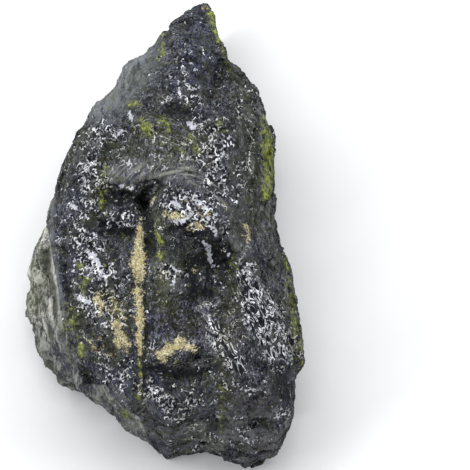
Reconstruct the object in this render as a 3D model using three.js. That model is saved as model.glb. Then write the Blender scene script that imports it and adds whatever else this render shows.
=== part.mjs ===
// Rough jade: one broken stone, drawn out to a blunt spire, lying on its flattest side.
//
// Millimetres, +Z up. The origin is on the resting face, under the middle of the stone.
// The broad upper face looks up and leans towards the foot (-Y), so the stone is laid out on a
// plan that leans with it: "across" runs to the right (+X) and "along" from the foot to the
// tip. A place on the plan is given its real height above the resting face, and slides
// straight back out of the plan as it rises.

import * as THREE from "three";

// ---------------------------------------------------------------- driving dimensions

const FACE_LEAN = THREE.MathUtils.degToRad(14); // the broad face tips this far towards the foot

const STONE_COLOUR = 0x4d514e;
const STONE_ROUGHNESS = 0.45;
const STONE_METALNESS = 0;

// The stone's outer edge, where its upper side meets its underside: across, along, height.
const SPIRE_RIGHT_EDGE = [
  [18, 122, 36],
  [19, 120, 37],
  [21.5, 117, 37],
  [22.5, 113.5, 38],
  [22.5, 110, 38],
  [23.5, 103.5, 40],
  [26, 100.5, 41],
  [26.5, 96.5, 41],
  [27.5, 93.5, 42],
];
const RIGHT_SHOULDER_EDGE = [
  [29.5, 90.5, 42],
  [32, 90, 41],
  [34, 88.5, 41],
  [37, 85, 40],
  [38.5, 81.5, 40],
  [41.5, 79, 39],
  [44, 76.5, 38],
  [44.5, 73.5, 38],
  [47, 69.5, 37],
  [48, 66, 36],
  [48, 62, 36],
  [50, 58, 35],
  [52, 53, 34],
  [52.5, 48, 33],
  [52, 43.5, 33],
  [52, 34.5, 31],
];
const RIGHT_FLANK_EDGE = [
  [53, 24.5, 30],
  [53, 18, 30],
  [52, 11.5, 30],
  [54, 2.5, 30],
  [55.5, -3, 29],
  [60.5, -16, 28],
  [62.5, -29, 27],
  [65.5, -44.5, 27],
  [68, -58, 29],
];
const RIGHT_CORNER_EDGE = [
  [68.5, -62, 28],
  [67, -65.5, 26],
  [63.5, -68, 24],
  [62.5, -72, 22],
  [62.5, -78.5, 20],
  [61.5, -84.5, 17],
  [61, -92, 13],
  [58.5, -97.5, 11],
  [57, -100.5, 10],
  [54, -110, 6],
];
const FOOT_EDGE = [
  [50.5, -112, 5],
  [47, -113, 4],
  [39.5, -116.5, 3],
  [36.5, -117, 3],
  [34, -115, 4],
  [31, -114.5, 4],
  [27.5, -113, 4],
  [22.5, -111, 5],
  [16, -108.5, 6],
  [8.5, -109.8, 5],
  [4.5, -109.6, 5],
];
const KNOB_EDGE = [
  [1.5, -111, 4],
  [-1, -112.2, 4],
  [-3.5, -112.5, 4],
  [-6.5, -109, 5],
  [-8.5, -108.5, 6],
];
const LOWER_LEFT_EDGE = [
  [-10, -104.5, 8],
  [-12.5, -103, 8],
  [-15.5, -102.5, 8],
  [-18.5, -99.5, 9],
  [-23.5, -97, 10],
  [-29.5, -91.5, 11],
  [-32, -90, 11],
  [-33, -88, 12],
  [-38.5, -83.5, 11],
  [-45.5, -80, 10],
  [-48, -78.5, 10],
  [-54, -76, 8],
  [-56, -74.5, 8],
  [-58, -74, 8],
  [-59.5, -71.5, 9],
  [-59.5, -69.5, 9],
  [-64, -66, 9],
  [-66.5, -64.5, 9],
  [-67, -61.5, 10],
  [-70, -57.5, 11],
  [-71.5, -53, 12],
];
const LEFT_BULGE_EDGE = [
  [-72, -48.5, 13],
  [-72.5, -44, 13],
  [-74.5, -40, 14],
  [-75.5, -36.5, 14],
  [-76, -32.5, 15],
  [-75.5, -30, 15],
  [-74, -25, 16],
  [-74, -21.5, 17],
  [-75, -17.5, 17],
  [-72, -13, 19],
  [-70.5, -6.5, 20],
  [-67, 1.5, 22],
  [-64, 11.5, 24],
  [-63, 18, 26],
  [-61, 21, 26],
  [-60.5, 27, 27],
  [-57.5, 34, 29],
  [-54, 43, 30],
  [-50, 51.5, 31],
  [-49, 55, 32],
  [-46, 57.5, 32],
  [-44.5, 61, 33],
  [-40, 69.5, 34],
];
const LEFT_SHOULDER_EDGE = [
  [-35.5, 73, 35],
  [-33, 75.5, 36],
  [-30, 78.5, 36],
  [-28.5, 81.5, 37],
  [-27, 84, 37],
  [-25.5, 88, 38],
  [-23, 91.5, 38],
  [-19, 93, 39],
  [-16, 94, 39],
  [-13, 96.5, 39],
];
const SPIRE_LEFT_EDGE = [
  [-10, 99, 39],
  [-7, 103.5, 38],
  [-5, 107, 38],
  [-3, 107, 38],
  [-1.5, 109.5, 38],
  [1, 112.5, 37],
  [6, 116.5, 37],
  [9.5, 118, 36],
  [11.5, 119.5, 36],
  [12.5, 121, 36],
  [14.5, 121, 36],
];
const STONE_EDGE = [
  ...SPIRE_RIGHT_EDGE,
  ...RIGHT_SHOULDER_EDGE,
  ...RIGHT_FLANK_EDGE,
  ...RIGHT_CORNER_EDGE,
  ...FOOT_EDGE,
  ...KNOB_EDGE,
  ...LOWER_LEFT_EDGE,
  ...LEFT_BULGE_EDGE,
  ...LEFT_SHOULDER_EDGE,
  ...SPIRE_LEFT_EDGE,
];

// The broken faces of the upper side. Each goes through "at" (across, along, height) and falls
// by "dip" degrees towards "towards" (degrees on the plan: 0 is right, 90 is the spire).
const UPPER_FACES = [
  { name: "crown", at: [4, 0, 82], towards: 265, dip: 3 },
  { name: "left face", at: [-20, -10, 79.5], towards: 172, dip: 21 },
  { name: "left face, foot side", at: [-30, -62, 70], towards: 215, dip: 30 },
  { name: "right face", at: [31, -33, 76.5], towards: -12, dip: 23 },
  { name: "right shoulder", at: [27, 48, 77], towards: 22, dip: 32 },
  { name: "right flank", at: [43, 36, 66], towards: 4, dip: 70 },
  { name: "neck", at: [10, 56, 81], towards: 84, dip: 27 },
  { name: "left shoulder", at: [-4, 72, 74], towards: 128, dip: 45 },
  { name: "spire, right side", at: [6, 90, 63], towards: 58, dip: 40 },
  { name: "left side", at: [-60, -20, 59], towards: 188, dip: 70 },
  { name: "upper left side", at: [-56, 34, 54], towards: 157, dip: 68 },
  { name: "lower left side", at: [-50, -57, 59], towards: 222, dip: 67 },
  { name: "lower left side, foot end", at: [-24, -86, 57], towards: 238, dip: 74 },
  { name: "apron above the foot", at: [8, -66, 75], towards: 268, dip: 33 },
  { name: "foot", at: [14, -96, 52], towards: 264, dip: 69 },
  { name: "right foot", at: [40, -80, 60], towards: 283, dip: 56 },
  { name: "right corner", at: [58, -80, 44], towards: 330, dip: 68 },
];

// The broken faces of the underside, which rise from the resting face out to the edge.
const LOWER_FACES = [
  { name: "under the spire", at: [6, 52, 0], towards: 266, dip: 17 },
  { name: "under the left shoulder", at: [-22, 40, 0], towards: 316, dip: 27 },
  { name: "under the right shoulder", at: [30, 38, 0], towards: 208, dip: 29 },
  { name: "under the left bulge", at: [-46, -20, 0], towards: 12, dip: 26 },
  { name: "under the lower left", at: [-40, -64, 0], towards: 58, dip: 22 },
  { name: "under the right flank", at: [40, -14, 0], towards: 176, dip: 38 },
  { name: "under the right corner", at: [44, -58, 0], towards: 148, dip: 33 },
];

// Lumps (rise above 0) and hollows (below 0) on the upper side: half sizes, turned on the plan.
const LUMPS = [
  { name: "boss", at: [8.5, 9], size: [26, 26], turn: 15, rise: 10 },
  { name: "crest of the boss", at: [3, 13], size: [14, 9], turn: -25, rise: 1.5 },
  { name: "fallen flank of the boss", at: [21, -17], size: [14, 23], turn: -14, rise: -7 },
  { name: "hollow under the boss", at: [23, -5], size: [10, 10], turn: 35, rise: -3 },
  { name: "eye in the boss", at: [2, 5], size: [5, 4], turn: 15, rise: -3 },
  { name: "rib on the fallen flank", at: [18, -5], size: [3.5, 8], turn: 20, rise: 3 },
  { name: "smooth shell-shaped break", at: [7, -38], size: [21, 15], turn: 8, rise: -6.5 },
  { name: "lip of the smooth break", at: [0, -57], size: [14, 5], turn: 12, rise: 3.5 },
  { name: "pit at the seam", at: [-11.5, -3], size: [4, 6], turn: -10, rise: -4.5 },
  { name: "left swelling", at: [-40, -12], size: [15, 18], turn: 10, rise: 3.5 },
  { name: "hollow inside the left break", at: [-54, -18], size: [5, 20], turn: -6, rise: -3.5 },
  { name: "lower left swelling", at: [-31, -46], size: [13, 12], turn: 0, rise: 3 },
  { name: "right swelling", at: [46, -38], size: [14, 22], turn: 20, rise: 4 },
  { name: "hollow beside the right face", at: [29, -36], size: [7, 18], turn: -8, rise: -3.5 },
  { name: "recess below the corner", at: [57, -75], size: [8, 11], turn: 10, rise: -7 },
  { name: "apron swelling", at: [0, -84], size: [14, 11], turn: -15, rise: 4.5 },
  { name: "apron hollow", at: [23, -86], size: [7, 14], turn: -5, rise: -4.5 },
  { name: "knob", at: [-3, -106], size: [7, 9], turn: 0, rise: 7 },
  { name: "neck hollow", at: [1, 64], size: [8, 7], turn: 0, rise: -4 },
  { name: "upturned chip below it", at: [10, 57], size: [5, 5], turn: 20, rise: 2.5 },
  { name: "groove beside the spire", at: [22, 78], size: [7, 17], turn: -8, rise: -4.5 },
  { name: "right shoulder swelling", at: [33, 62], size: [9, 13], turn: 35, rise: 3.5 },
  { name: "left shoulder swelling", at: [-17, 68], size: [14, 9], turn: 30, rise: 3 },
];

// Ledges: the ground on the right of each line, walking along it, drops and then evens out.
const LEDGES = [
  {
    name: "upper left step",
    drop: 8,
    reach: 8,
    line: [
      [-40, 25],
      [-30, 26],
      [-20, 23],
      [-12, 18],
    ],
  },
  {
    name: "middle left step",
    drop: 6.5,
    reach: 7,
    line: [
      [-41, 5],
      [-30, 6.5],
      [-22, 5],
      [-16, 0],
    ],
  },
  {
    name: "step right of the seam",
    drop: 3.5,
    reach: 13,
    line: [
      [-13, 8],
      [-13.5, -30],
      [-13, -60],
      [-14, -82],
    ],
  },
  {
    name: "drop below the smooth break",
    drop: 6.5,
    reach: 14,
    line: [
      [-15, -61],
      [-6.5, -64],
      [3, -62.5],
      [13, -58],
      [26, -57],
    ],
  },
  {
    name: "ledge under the right face",
    drop: 7,
    reach: 14,
    line: [
      [30, -56],
      [45, -62],
      [57, -64],
      [71, -64],
    ],
  },
  {
    name: "curved lip on the lower left",
    drop: 5,
    reach: 9,
    line: [
      [-14, -92],
      [-24, -85],
      [-31, -79],
      [-33, -72],
      [-45, -74],
      [-48, -84],
    ],
  },
  {
    name: "scarp across the neck",
    drop: 3,
    reach: 16,
    line: [
      [-34, 58],
      [-12, 54],
      [6, 60],
      [24, 52],
    ],
  },
  {
    name: "scarp down the right shoulder",
    drop: 3,
    reach: 10,
    line: [
      [33, 84],
      [39, 62],
      [40, 38],
      [44, 12],
    ],
  },
];

// Cracks: narrow grooves.
const CRACKS = [
  {
    name: "cleft beside the boss",
    depth: 9,
    width: 4.5,
    line: [
      [-5, 31],
      [-11, 24],
      [-14, 14],
      [-13, 4],
    ],
  },
  {
    name: "short arm of the cleft",
    depth: 3.5,
    width: 3,
    line: [
      [-18, 31],
      [-14, 20],
      [-14, 10],
    ],
  },
  {
    name: "seam",
    depth: 2.5,
    width: 4,
    line: [
      [-16, 8],
      [-17, -15],
      [-18, -32],
      [-18, -52],
      [-16, -80],
    ],
  },
  {
    name: "crease in the smooth break",
    depth: 2.5,
    width: 3,
    line: [
      [-1, -39],
      [3, -46],
      [8, -54],
    ],
  },
  {
    name: "crease right of the spire",
    depth: 3,
    width: 4,
    line: [
      [22, 104],
      [23, 88],
      [20, 66],
    ],
  },
];

// Ribs and flutes that run down the two left sides, below the crown.
const RIBS = {
  spacing: 9,
  height: 2.2,
  slant: 0.35, // across per along
  sway: 2.5,
  swayLength: 13,
  sideSlope: 0.55, // the left sides lie where (-across - sideSlope * along) passes from one to the other
  sideFrom: 62,
  sideTo: 78,
  fadeFrom: 68, // heights between which they fade in, going down
  fadeTo: 52,
};

// Walls round the edge: rise over run of the steepest wall and of the flattest lip.
const WALL_RISE = { sides: 7, foot: 3.2, footFrom: -70, footTo: -105 };
const LIP_RISE = 0.5;
const UNDERCUT_RISE = 3.1;
const FACE_ROUNDING = 0.9; // how softly neighbouring faces meet
const LEDGE_LIP = { above: 0.8, below: 1.6 }; // how far a ledge's face reaches back and out

// Flakes broken off the whole surface: cell size and depth of the coarse and the fine ones.
const COARSE_FLAKE = { cell: 19, depth: 6, seed: 11 };
const FINE_FLAKE = { cell: 8, depth: 2.6, seed: 29 };
const BASE_PIT = { cell: 23, depth: 9, level: 0.55, seed: 53 };
const FLAKE_LEVEL = 0.55;
const FLAKE_SHAPE = { scatter: 0.45, tilt: 0.55, uneven: 0.18, rim: 0.75 };
const FLAKE_FADE = { edge: 6, base: 8 }; // distances over which flakes fade in
const FLAKE_MOST = { out: 0.8, in: 0.4 }; // shares of the distance to the outline and to the edge

// The edge, divided: how far it strays on the plan and wanders up and down.
const EDGE_SPACING = 3.3;
const EDGE_STRAY = { size: 0.35, seed: 3 };
const EDGE_WANDER = { cell: 17, height: 10, seed: 71, mostDown: 0.6 };

// Each side is divided into rings of points, drawn in from the edge by these insets.
const UPPER_RINGS = {
  spacing: 3.4,
  seed: 101,
  insets: [
    1, 2, 3.1, 4.4, 6, 7.9, 10.2, 12.8, 15.7, 18.8, 22, 25.3, 28.7, 32.1, 35.5, 38.9, 42.2, 45.5,
    48.8, 52.1, 55.4, 58.4,
  ],
};
const LOWER_RINGS = {
  spacing: 4.6,
  seed: 202,
  insets: [1, 2.2, 3.6, 5.2, 7.2, 9.8, 13, 17, 22, 27.5, 33.5, 39.5, 45.5, 51.5, 57.3],
};
const FULL_INSET = 60; // the inset at which a ring would shrink onto the spine
const SPINE = { spireShare: 0.76, footShare: 0.52, lean: 0.06, bend: 0.5 };
const EVENING = { linear: 0.0004, square: 0.00014, most: 0.055, samples: 9 }; // shares of the way round
const RING_DIVISIONS = 1200;
const JITTER = 0.28; // share of the spacing by which the points are moved about
const UNMOVED_INSET = 1.4; // points this near the edge aren't moved
const RELAXING = { rounds: 8, share: 0.5, swaps: 3 };
const NEARLY_FLAT = 0.01; // a swap must gain at least this angle

// ---------------------------------------------------------------- seeded numbers

/** A repeatable number from 0 to 1 for a cell of a grid. */
function cellNumber(i, j, k, seed) {
  let n = Math.imul(i, 374761393) ^ Math.imul(j, 668265263) ^ Math.imul(k, 2147483647);
  n = Math.imul(n ^ Math.imul(seed, 974711), 1274126177);
  n = Math.imul(n ^ (n >>> 15), 2246822519);
  n = Math.imul(n ^ (n >>> 13), 3266489917);
  return ((n ^ (n >>> 16)) >>> 0) / 4294967296;
}

/** The same, from -1 to 1. */
function cellOffset(i, j, k, seed) {
  return 2 * cellNumber(i, j, k, seed) - 1;
}

/** Depth of the flake scars at a point: shallow tilted bowls that meet in sharp ridges, 0 to 1. */
function flakeDepth(point, cell, seed) {
  const place = point.clone().divideScalar(cell);
  const [ci, cj, ck] = place.toArray().map(Math.floor);
  const centre = new THREE.Vector3();
  const tilt = new THREE.Vector3();
  let lowest = Infinity;
  for (let i = ci - 1; i <= ci + 1; i++) {
    for (let j = cj - 1; j <= cj + 1; j++) {
      for (let k = ck - 1; k <= ck + 1; k++) {
        centre.set(
          i + 0.5 + FLAKE_SHAPE.scatter * cellOffset(i, j, k, seed),
          j + 0.5 + FLAKE_SHAPE.scatter * cellOffset(i, j, k, seed + 1),
          k + 0.5 + FLAKE_SHAPE.scatter * cellOffset(i, j, k, seed + 2),
        );
        tilt.set(
          cellOffset(i, j, k, seed + 3),
          cellOffset(i, j, k, seed + 4),
          cellOffset(i, j, k, seed + 5),
        );
        const off = place.clone().sub(centre);
        const uneven = FLAKE_SHAPE.uneven * cellOffset(i, j, k, seed + 6);
        lowest = Math.min(lowest, off.lengthSq() + FLAKE_SHAPE.tilt * off.dot(tilt) + uneven);
      }
    }
  }
  return THREE.MathUtils.clamp(FLAKE_SHAPE.rim - lowest, 0, 1);
}

/** How far a point has broken away, in mm: about half the surface stands proud of the middle level. */
function flakeCut(point, flake) {
  return flake.depth * (flakeDepth(point, flake.cell, flake.seed) - FLAKE_LEVEL);
}

// ---------------------------------------------------------------- lines on the plan

/** Where a line of points passes closest: how far off, on which side, how far along, how high. */
function nearestOn(line, across, along, closed) {
  const segments = closed ? line.length : line.length - 1;
  let best = { distance: Infinity, side: 1, share: 0, height: 0 };
  for (let i = 0; i < segments; i++) {
    const [ax, ay, az = 0] = line[i];
    const [bx, by, bz = 0] = line[(i + 1) % line.length];
    const [dx, dy] = [bx - ax, by - ay];
    const raw = ((across - ax) * dx + (along - ay) * dy) / (dx * dx + dy * dy);
    const t = THREE.MathUtils.clamp(raw, 0, 1);
    const distance = Math.hypot(across - ax - t * dx, along - ay - t * dy);
    if (distance < best.distance) {
      const side = Math.sign(dx * (along - ay) - dy * (across - ax)) || 1;
      best = { distance, side, share: (i + t) / segments, height: az + t * (bz - az) };
    }
  }
  return best;
}

/** 1 in the middle of a line, falling to 0 at both ends. */
function taper(share) {
  return Math.sqrt(Math.sin(Math.PI * THREE.MathUtils.clamp(share, 0, 1)));
}

/** How far a ledge has dropped the ground at a place. */
function ledgeDrop(ledge, across, along) {
  const near = nearestOn(ledge.line, across, along, false);
  const past = -near.side * near.distance;
  const edge = THREE.MathUtils.smoothstep(past, -LEDGE_LIP.above, LEDGE_LIP.below);
  return ledge.drop * edge * taper(near.share) * Math.exp(-Math.max(past, 0) / ledge.reach);
}

/** How deep a crack is at a place. */
function crackDepth(crack, across, along) {
  const near = nearestOn(crack.line, across, along, false);
  const off = near.distance / crack.width;
  return off < 1 ? crack.depth * taper(near.share) * (1 - off * off) : 0;
}

/** How much a lump or a hollow adds to the height at a place. */
function lumpHeight(lump, across, along) {
  const turn = THREE.MathUtils.degToRad(lump.turn);
  const [x, y] = [across - lump.at[0], along - lump.at[1]];
  const right = (x * Math.cos(turn) + y * Math.sin(turn)) / lump.size[0];
  const up = (y * Math.cos(turn) - x * Math.sin(turn)) / lump.size[1];
  const off = Math.min(Math.hypot(right, up), 1);
  const dome = 1 - off * off;
  return lump.rise * dome * dome * (1 + off * off);
}

// ---------------------------------------------------------------- heights

/** The height of one flat face over a place on the plan. */
function faceHeight(face, across, along) {
  const towards = THREE.MathUtils.degToRad(face.towards);
  const run = (across - face.at[0]) * Math.cos(towards) + (along - face.at[1]) * Math.sin(towards);
  return face.at[2] - run * Math.tan(THREE.MathUtils.degToRad(face.dip));
}

/** The lowest of some heights, with the corner between them slightly blunted. */
function softLowest(heights) {
  const lowest = Math.min(...heights);
  const spread = heights.reduce((sum, h) => sum + Math.exp((lowest - h) / FACE_ROUNDING), 0);
  return lowest - FACE_ROUNDING * Math.log(spread);
}

/** Ribs that run straight down the two left sides, and nowhere else. */
function ribHeight(across, along, base) {
  const sideways = -across - RIBS.sideSlope * along;
  const leftSide = THREE.MathUtils.smoothstep(sideways, RIBS.sideFrom, RIBS.sideTo);
  const lower = THREE.MathUtils.smoothstep(-base, -RIBS.fadeFrom, -RIBS.fadeTo);
  const sway = RIBS.sway * Math.sin(along / RIBS.swayLength);
  const phase = (across + RIBS.slant * along + sway) / RIBS.spacing;
  return leftSide * lower * RIBS.height * Math.sin(2 * Math.PI * phase);
}

/** Height of the upper side, given the nearest place on the stone's edge. */
function upperHeight(across, along, edge) {
  const faces = softLowest(UPPER_FACES.map((face) => faceHeight(face, across, along)));
  let height = faces + ribHeight(across, along, faces);
  for (const lump of LUMPS) height += lumpHeight(lump, across, along);
  for (const ledge of LEDGES) height -= ledgeDrop(ledge, across, along);
  for (const crack of CRACKS) height -= crackDepth(crack, across, along);
  const lip = edge.height + LIP_RISE * edge.distance;
  const atFoot = THREE.MathUtils.smoothstep(-along, -WALL_RISE.footFrom, -WALL_RISE.footTo);
  const rise = THREE.MathUtils.lerp(WALL_RISE.sides, WALL_RISE.foot, atFoot);
  const wall = edge.height + rise * edge.distance;
  return Math.min(Math.max(height, lip), wall);
}

/** Height of the underside: flat at 0 where it rests, with a few shallow pits. */
function lowerHeight(across, along, edge) {
  const rising = Math.max(...LOWER_FACES.map((face) => faceHeight(face, across, along)));
  const scar = flakeDepth(new THREE.Vector3(across, along, 0), BASE_PIT.cell, BASE_PIT.seed);
  const pit = BASE_PIT.depth * (scar - BASE_PIT.level);
  const ceiling = Math.max(edge.height - LIP_RISE * edge.distance, 0);
  const undercut = edge.height - UNDERCUT_RISE * edge.distance;
  return Math.max(Math.min(Math.max(rising, pit), ceiling), undercut, 0);
}

/** A place on the leaning plan, at its height, as a point in space. */
function inSpace(across, along, height) {
  const back = (along - height * Math.sin(FACE_LEAN)) / Math.cos(FACE_LEAN);
  return new THREE.Vector3(across, back, height);
}

// ---------------------------------------------------------------- rings of points

/** The stone's edge with its long stretches divided and made slightly ragged. */
function dividedEdge() {
  const points = [];
  STONE_EDGE.forEach((start, i) => {
    const end = STONE_EDGE[(i + 1) % STONE_EDGE.length];
    const length = Math.hypot(end[0] - start[0], end[1] - start[1]);
    const parts = Math.max(1, Math.round(length / EDGE_SPACING));
    for (let part = 0; part < parts; part++) {
      const t = part / parts;
      const stray = part ? EDGE_STRAY.size : 0;
      points.push([
        start[0] + t * (end[0] - start[0]) + stray * cellOffset(i, part, 0, EDGE_STRAY.seed),
        start[1] + t * (end[1] - start[1]) + stray * cellOffset(i, part, 1, EDGE_STRAY.seed),
        start[2] + t * (end[2] - start[2]),
      ]);
    }
  });
  points.forEach((point) => {
    const place = new THREE.Vector3(point[0], point[1], 0);
    const wander = flakeDepth(place, EDGE_WANDER.cell, EDGE_WANDER.seed) - FLAKE_LEVEL;
    point[2] += Math.max(EDGE_WANDER.height * wander, -EDGE_WANDER.mostDown * point[2]);
  });
  return points;
}

/** A closed ring on the plan, drawn in from the stone's edge towards its spine by an inset. */
class RingCurve extends THREE.Curve {
  constructor(edge, inset) {
    super();
    this.edge = edge;
    this.closing = inset / FULL_INSET;
    this.stretch = Math.min(inset * (EVENING.linear + EVENING.square * inset), EVENING.most);
    this.arcLengthDivisions = RING_DIVISIONS;
  }

  /** The edge's own place at a share of the way round. */
  edgePoint(share) {
    const place = (((share % 1) + 1) % 1) * this.edge.length;
    const i = Math.floor(place);
    const [ax, ay] = this.edge[i % this.edge.length];
    const [bx, by] = this.edge[(i + 1) % this.edge.length];
    return new THREE.Vector2(ax, ay).lerp(new THREE.Vector2(bx, by), place - i);
  }

  /** The ring's place at the same share, with the edge's corners evened out the further in it is. */
  getPoint(share, target = new THREE.Vector2()) {
    const outer = new THREE.Vector2();
    for (let n = 0; n < EVENING.samples; n++) {
      outer.add(this.edgePoint(share + this.stretch * (n / (EVENING.samples - 1) - 0.5)));
    }
    outer.divideScalar(EVENING.samples);
    const along = outer.y * (outer.y > 0 ? SPINE.spireShare : SPINE.footShare);
    target.set(SPINE.lean * Math.max(along, 0), along);
    const bend = SPINE.bend * (1 - FULL_INSET / target.distanceTo(outer));
    return target.lerp(outer, (1 - this.closing) * (1 + bend * this.closing));
  }
}

/** The points of one ring, evenly spaced and then moved about a little, along it and across it. */
function ringOfPoints(edge, rings, ring) {
  const { insets, spacing, seed } = rings;
  const curve = new RingCurve(edge, insets[ring]);
  const nextCurve = new RingCurve(edge, insets[ring + 1] ?? insets[ring]);
  const count = Math.round(curve.getLength() / spacing);
  const loose = insets[ring] > UNMOVED_INSET ? JITTER : 0;
  const points = [];
  for (let n = 0; n < count; n++) {
    const even = (n + 0.5 + loose * cellOffset(n, ring, 0, seed)) / count;
    const share = curve.getUtoTmapping(even);
    const inwards = loose * cellOffset(n, ring, 1, seed);
    const place = curve.getPoint(share).lerp(nextCurve.getPoint(share), inwards);
    points.push({ across: place.x, along: place.y, share });
  }
  return points;
}

/** Triangles between two rings, walking round both at once. */
function zipRings(outer, inner, triangles) {
  let [i, j] = [0, 0];
  const shareOf = (ring, n) => ring[n % ring.length].share + Math.floor(n / ring.length);
  while (i < outer.length || j < inner.length) {
    const [o, n] = [outer[i % outer.length].index, inner[j % inner.length].index];
    const outerFirst = shareOf(outer, i + 1) < shareOf(inner, j + 1);
    if ((outerFirst && i < outer.length) || j >= inner.length) {
      triangles.push([o, n, outer[(i + 1) % outer.length].index]);
      i += 1;
    } else {
      triangles.push([o, n, inner[(j + 1) % inner.length].index]);
      j += 1;
    }
  }
}

/** Triangles across the innermost ring, a narrow loop round the spine, walking down both sides. */
function closeRing(ring, triangles) {
  const count = ring.length;
  const alongs = ring.map((point) => point.along);
  const top = alongs.indexOf(Math.max(...alongs));
  const bottom = alongs.indexOf(Math.min(...alongs));
  const at = (n) => ring[((n % count) + count) % count];
  const rightEnd = top + ((bottom - top + count) % count);
  const leftEnd = rightEnd - count;
  let [right, left] = [top, top];
  while (rightEnd - right + (left - leftEnd) > 1) {
    const rightNext = right < rightEnd ? at(right + 1).along : -Infinity;
    const leftNext = left > leftEnd ? at(left - 1).along : -Infinity;
    const goRight = rightNext >= leftNext;
    const next = goRight ? right + 1 : left - 1;
    if (right !== left) triangles.push([at(right).index, at(left).index, at(next).index]);
    if (goRight) right = next;
    else left = next;
  }
}

// ---------------------------------------------------------------- evening out

/** Gives a point its height, its place in space and how far it is from the edge. */
function setHeight(point, edge, heightAt) {
  const nearEdge = nearestOn(edge, point.across, point.along, true);
  point.height = heightAt(point.across, point.along, nearEdge);
  point.at = inSpace(point.across, point.along, point.height);
  point.inset = nearEdge.distance;
  point.offEdge = Math.hypot(nearEdge.distance, point.height - nearEdge.height);
}

/** Draws each free point towards its neighbours, the more so the further off they are in space. */
function relaxPoints(points, triangles) {
  const pulls = points.map(() => ({ across: 0, along: 0, weight: 0 }));
  for (const triangle of triangles) {
    triangle.forEach((from, n) => {
      const to = triangle[(n + 1) % 3];
      const weight = points[from].at.distanceTo(points[to].at);
      for (const [here, there] of [[from, to], [to, from]]) {
        pulls[here].across += weight * points[there].across;
        pulls[here].along += weight * points[there].along;
        pulls[here].weight += weight;
      }
    });
  }
  points.forEach((point, n) => {
    if (point.inset < UNMOVED_INSET) return;
    const { across, along, weight } = pulls[n];
    point.across = THREE.MathUtils.lerp(point.across, across / weight, RELAXING.share);
    point.along = THREE.MathUtils.lerp(point.along, along / weight, RELAXING.share);
  });
}

/** The angle in space that two points make at a third. */
function angleAt(corner, left, right) {
  return left.at.clone().sub(corner.at).angleTo(right.at.clone().sub(corner.at));
}

/** Twice the area of a triangle on the plan: positive where it runs anticlockwise. */
function planTurn(a, b, c) {
  return (b.across - a.across) * (c.along - a.along) - (b.along - a.along) * (c.across - a.across);
}

/** Swaps the diagonal of two neighbouring triangles wherever the other one makes them rounder. */
function swapDiagonals(points, triangles) {
  const key = (from, to) => from * points.length + to;
  const owners = new Map();
  triangles.forEach((triangle, t) => {
    triangle.forEach((from, n) => owners.set(key(from, triangle[(n + 1) % 3]), t));
  });
  const swapped = new Set();
  const trySwap = (t, n) => {
    const [a, b, c] = [0, 1, 2].map((step) => triangles[t][(n + step) % 3]);
    const other = owners.get(key(b, a));
    if (other === undefined || swapped.has(t) || swapped.has(other)) return;
    const d = triangles[other].find((corner) => corner !== a && corner !== b);
    if (owners.has(key(c, d)) || owners.has(key(d, c))) return;
    const [pa, pb, pc, pd] = [a, b, c, d].map((corner) => points[corner]);
    if (angleAt(pc, pa, pb) + angleAt(pd, pa, pb) < Math.PI + NEARLY_FLAT) return;
    if (planTurn(pa, pd, pc) <= 0 || planTurn(pd, pb, pc) <= 0) return;
    triangles[t] = [a, d, c];
    triangles[other] = [d, b, c];
    swapped.add(t).add(other);
  };
  for (let t = 0; t < triangles.length; t++) {
    for (let n = 0; n < 3; n++) trySwap(t, n);
  }
}

// ---------------------------------------------------------------- the stone

/** One side of the stone: points and triangles, the edge's own points first. */
function makeSide(edge, rings, heightAt) {
  const points = edge.map(([across, along], index) => {
    return { across, along, index, share: index / edge.length };
  });
  const triangles = [];
  let outer = points.slice();
  rings.insets.forEach((_, n) => {
    const ring = ringOfPoints(edge, rings, n);
    ring.forEach((point) => {
      point.index = points.length;
      points.push(point);
    });
    zipRings(outer, ring, triangles);
    outer = ring;
  });
  closeRing(outer, triangles);
  points.forEach((point) => setHeight(point, edge, heightAt));
  for (let round = 0; round < RELAXING.rounds; round++) {
    relaxPoints(points, triangles);
    points.forEach((point) => setHeight(point, edge, heightAt));
    for (let pass = 0; pass < RELAXING.swaps; pass++) swapDiagonals(points, triangles);
  }
  return { points, triangles };
}

/** A geometry from points and triangles. */
function geometryOf(points, triangles) {
  const geometry = new THREE.BufferGeometry();
  const positions = points.flatMap((point) => point.at.toArray());
  geometry.setAttribute("position", new THREE.Float32BufferAttribute(positions, 3));
  geometry.setIndex(triangles.flat());
  geometry.computeVertexNormals();
  return geometry;
}

/** Breaks flakes off the surface. The edge and the base stay, and nothing passes the outline. */
function breakFlakes(points, triangles) {
  const normals = geometryOf(points, triangles).getAttribute("normal");
  const normal = new THREE.Vector3();
  const cuts = points.map((point) => {
    const cut = flakeCut(point.at, COARSE_FLAKE) + flakeCut(point.at, FINE_FLAKE);
    const offEdge = THREE.MathUtils.smoothstep(point.offEdge, 0, FLAKE_FADE.edge);
    const offBase = THREE.MathUtils.smoothstep(point.height, 0, FLAKE_FADE.base);
    const [out, most] = [FLAKE_MOST.out * point.inset, FLAKE_MOST.in * point.offEdge];
    return THREE.MathUtils.clamp(cut * offEdge * offBase, -out, most);
  });
  points.forEach((point, n) => {
    normal.fromBufferAttribute(normals, n);
    point.at.addScaledVector(normal, -cuts[n]);
    point.at.z = Math.max(point.at.z, 0);
  });
}

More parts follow.
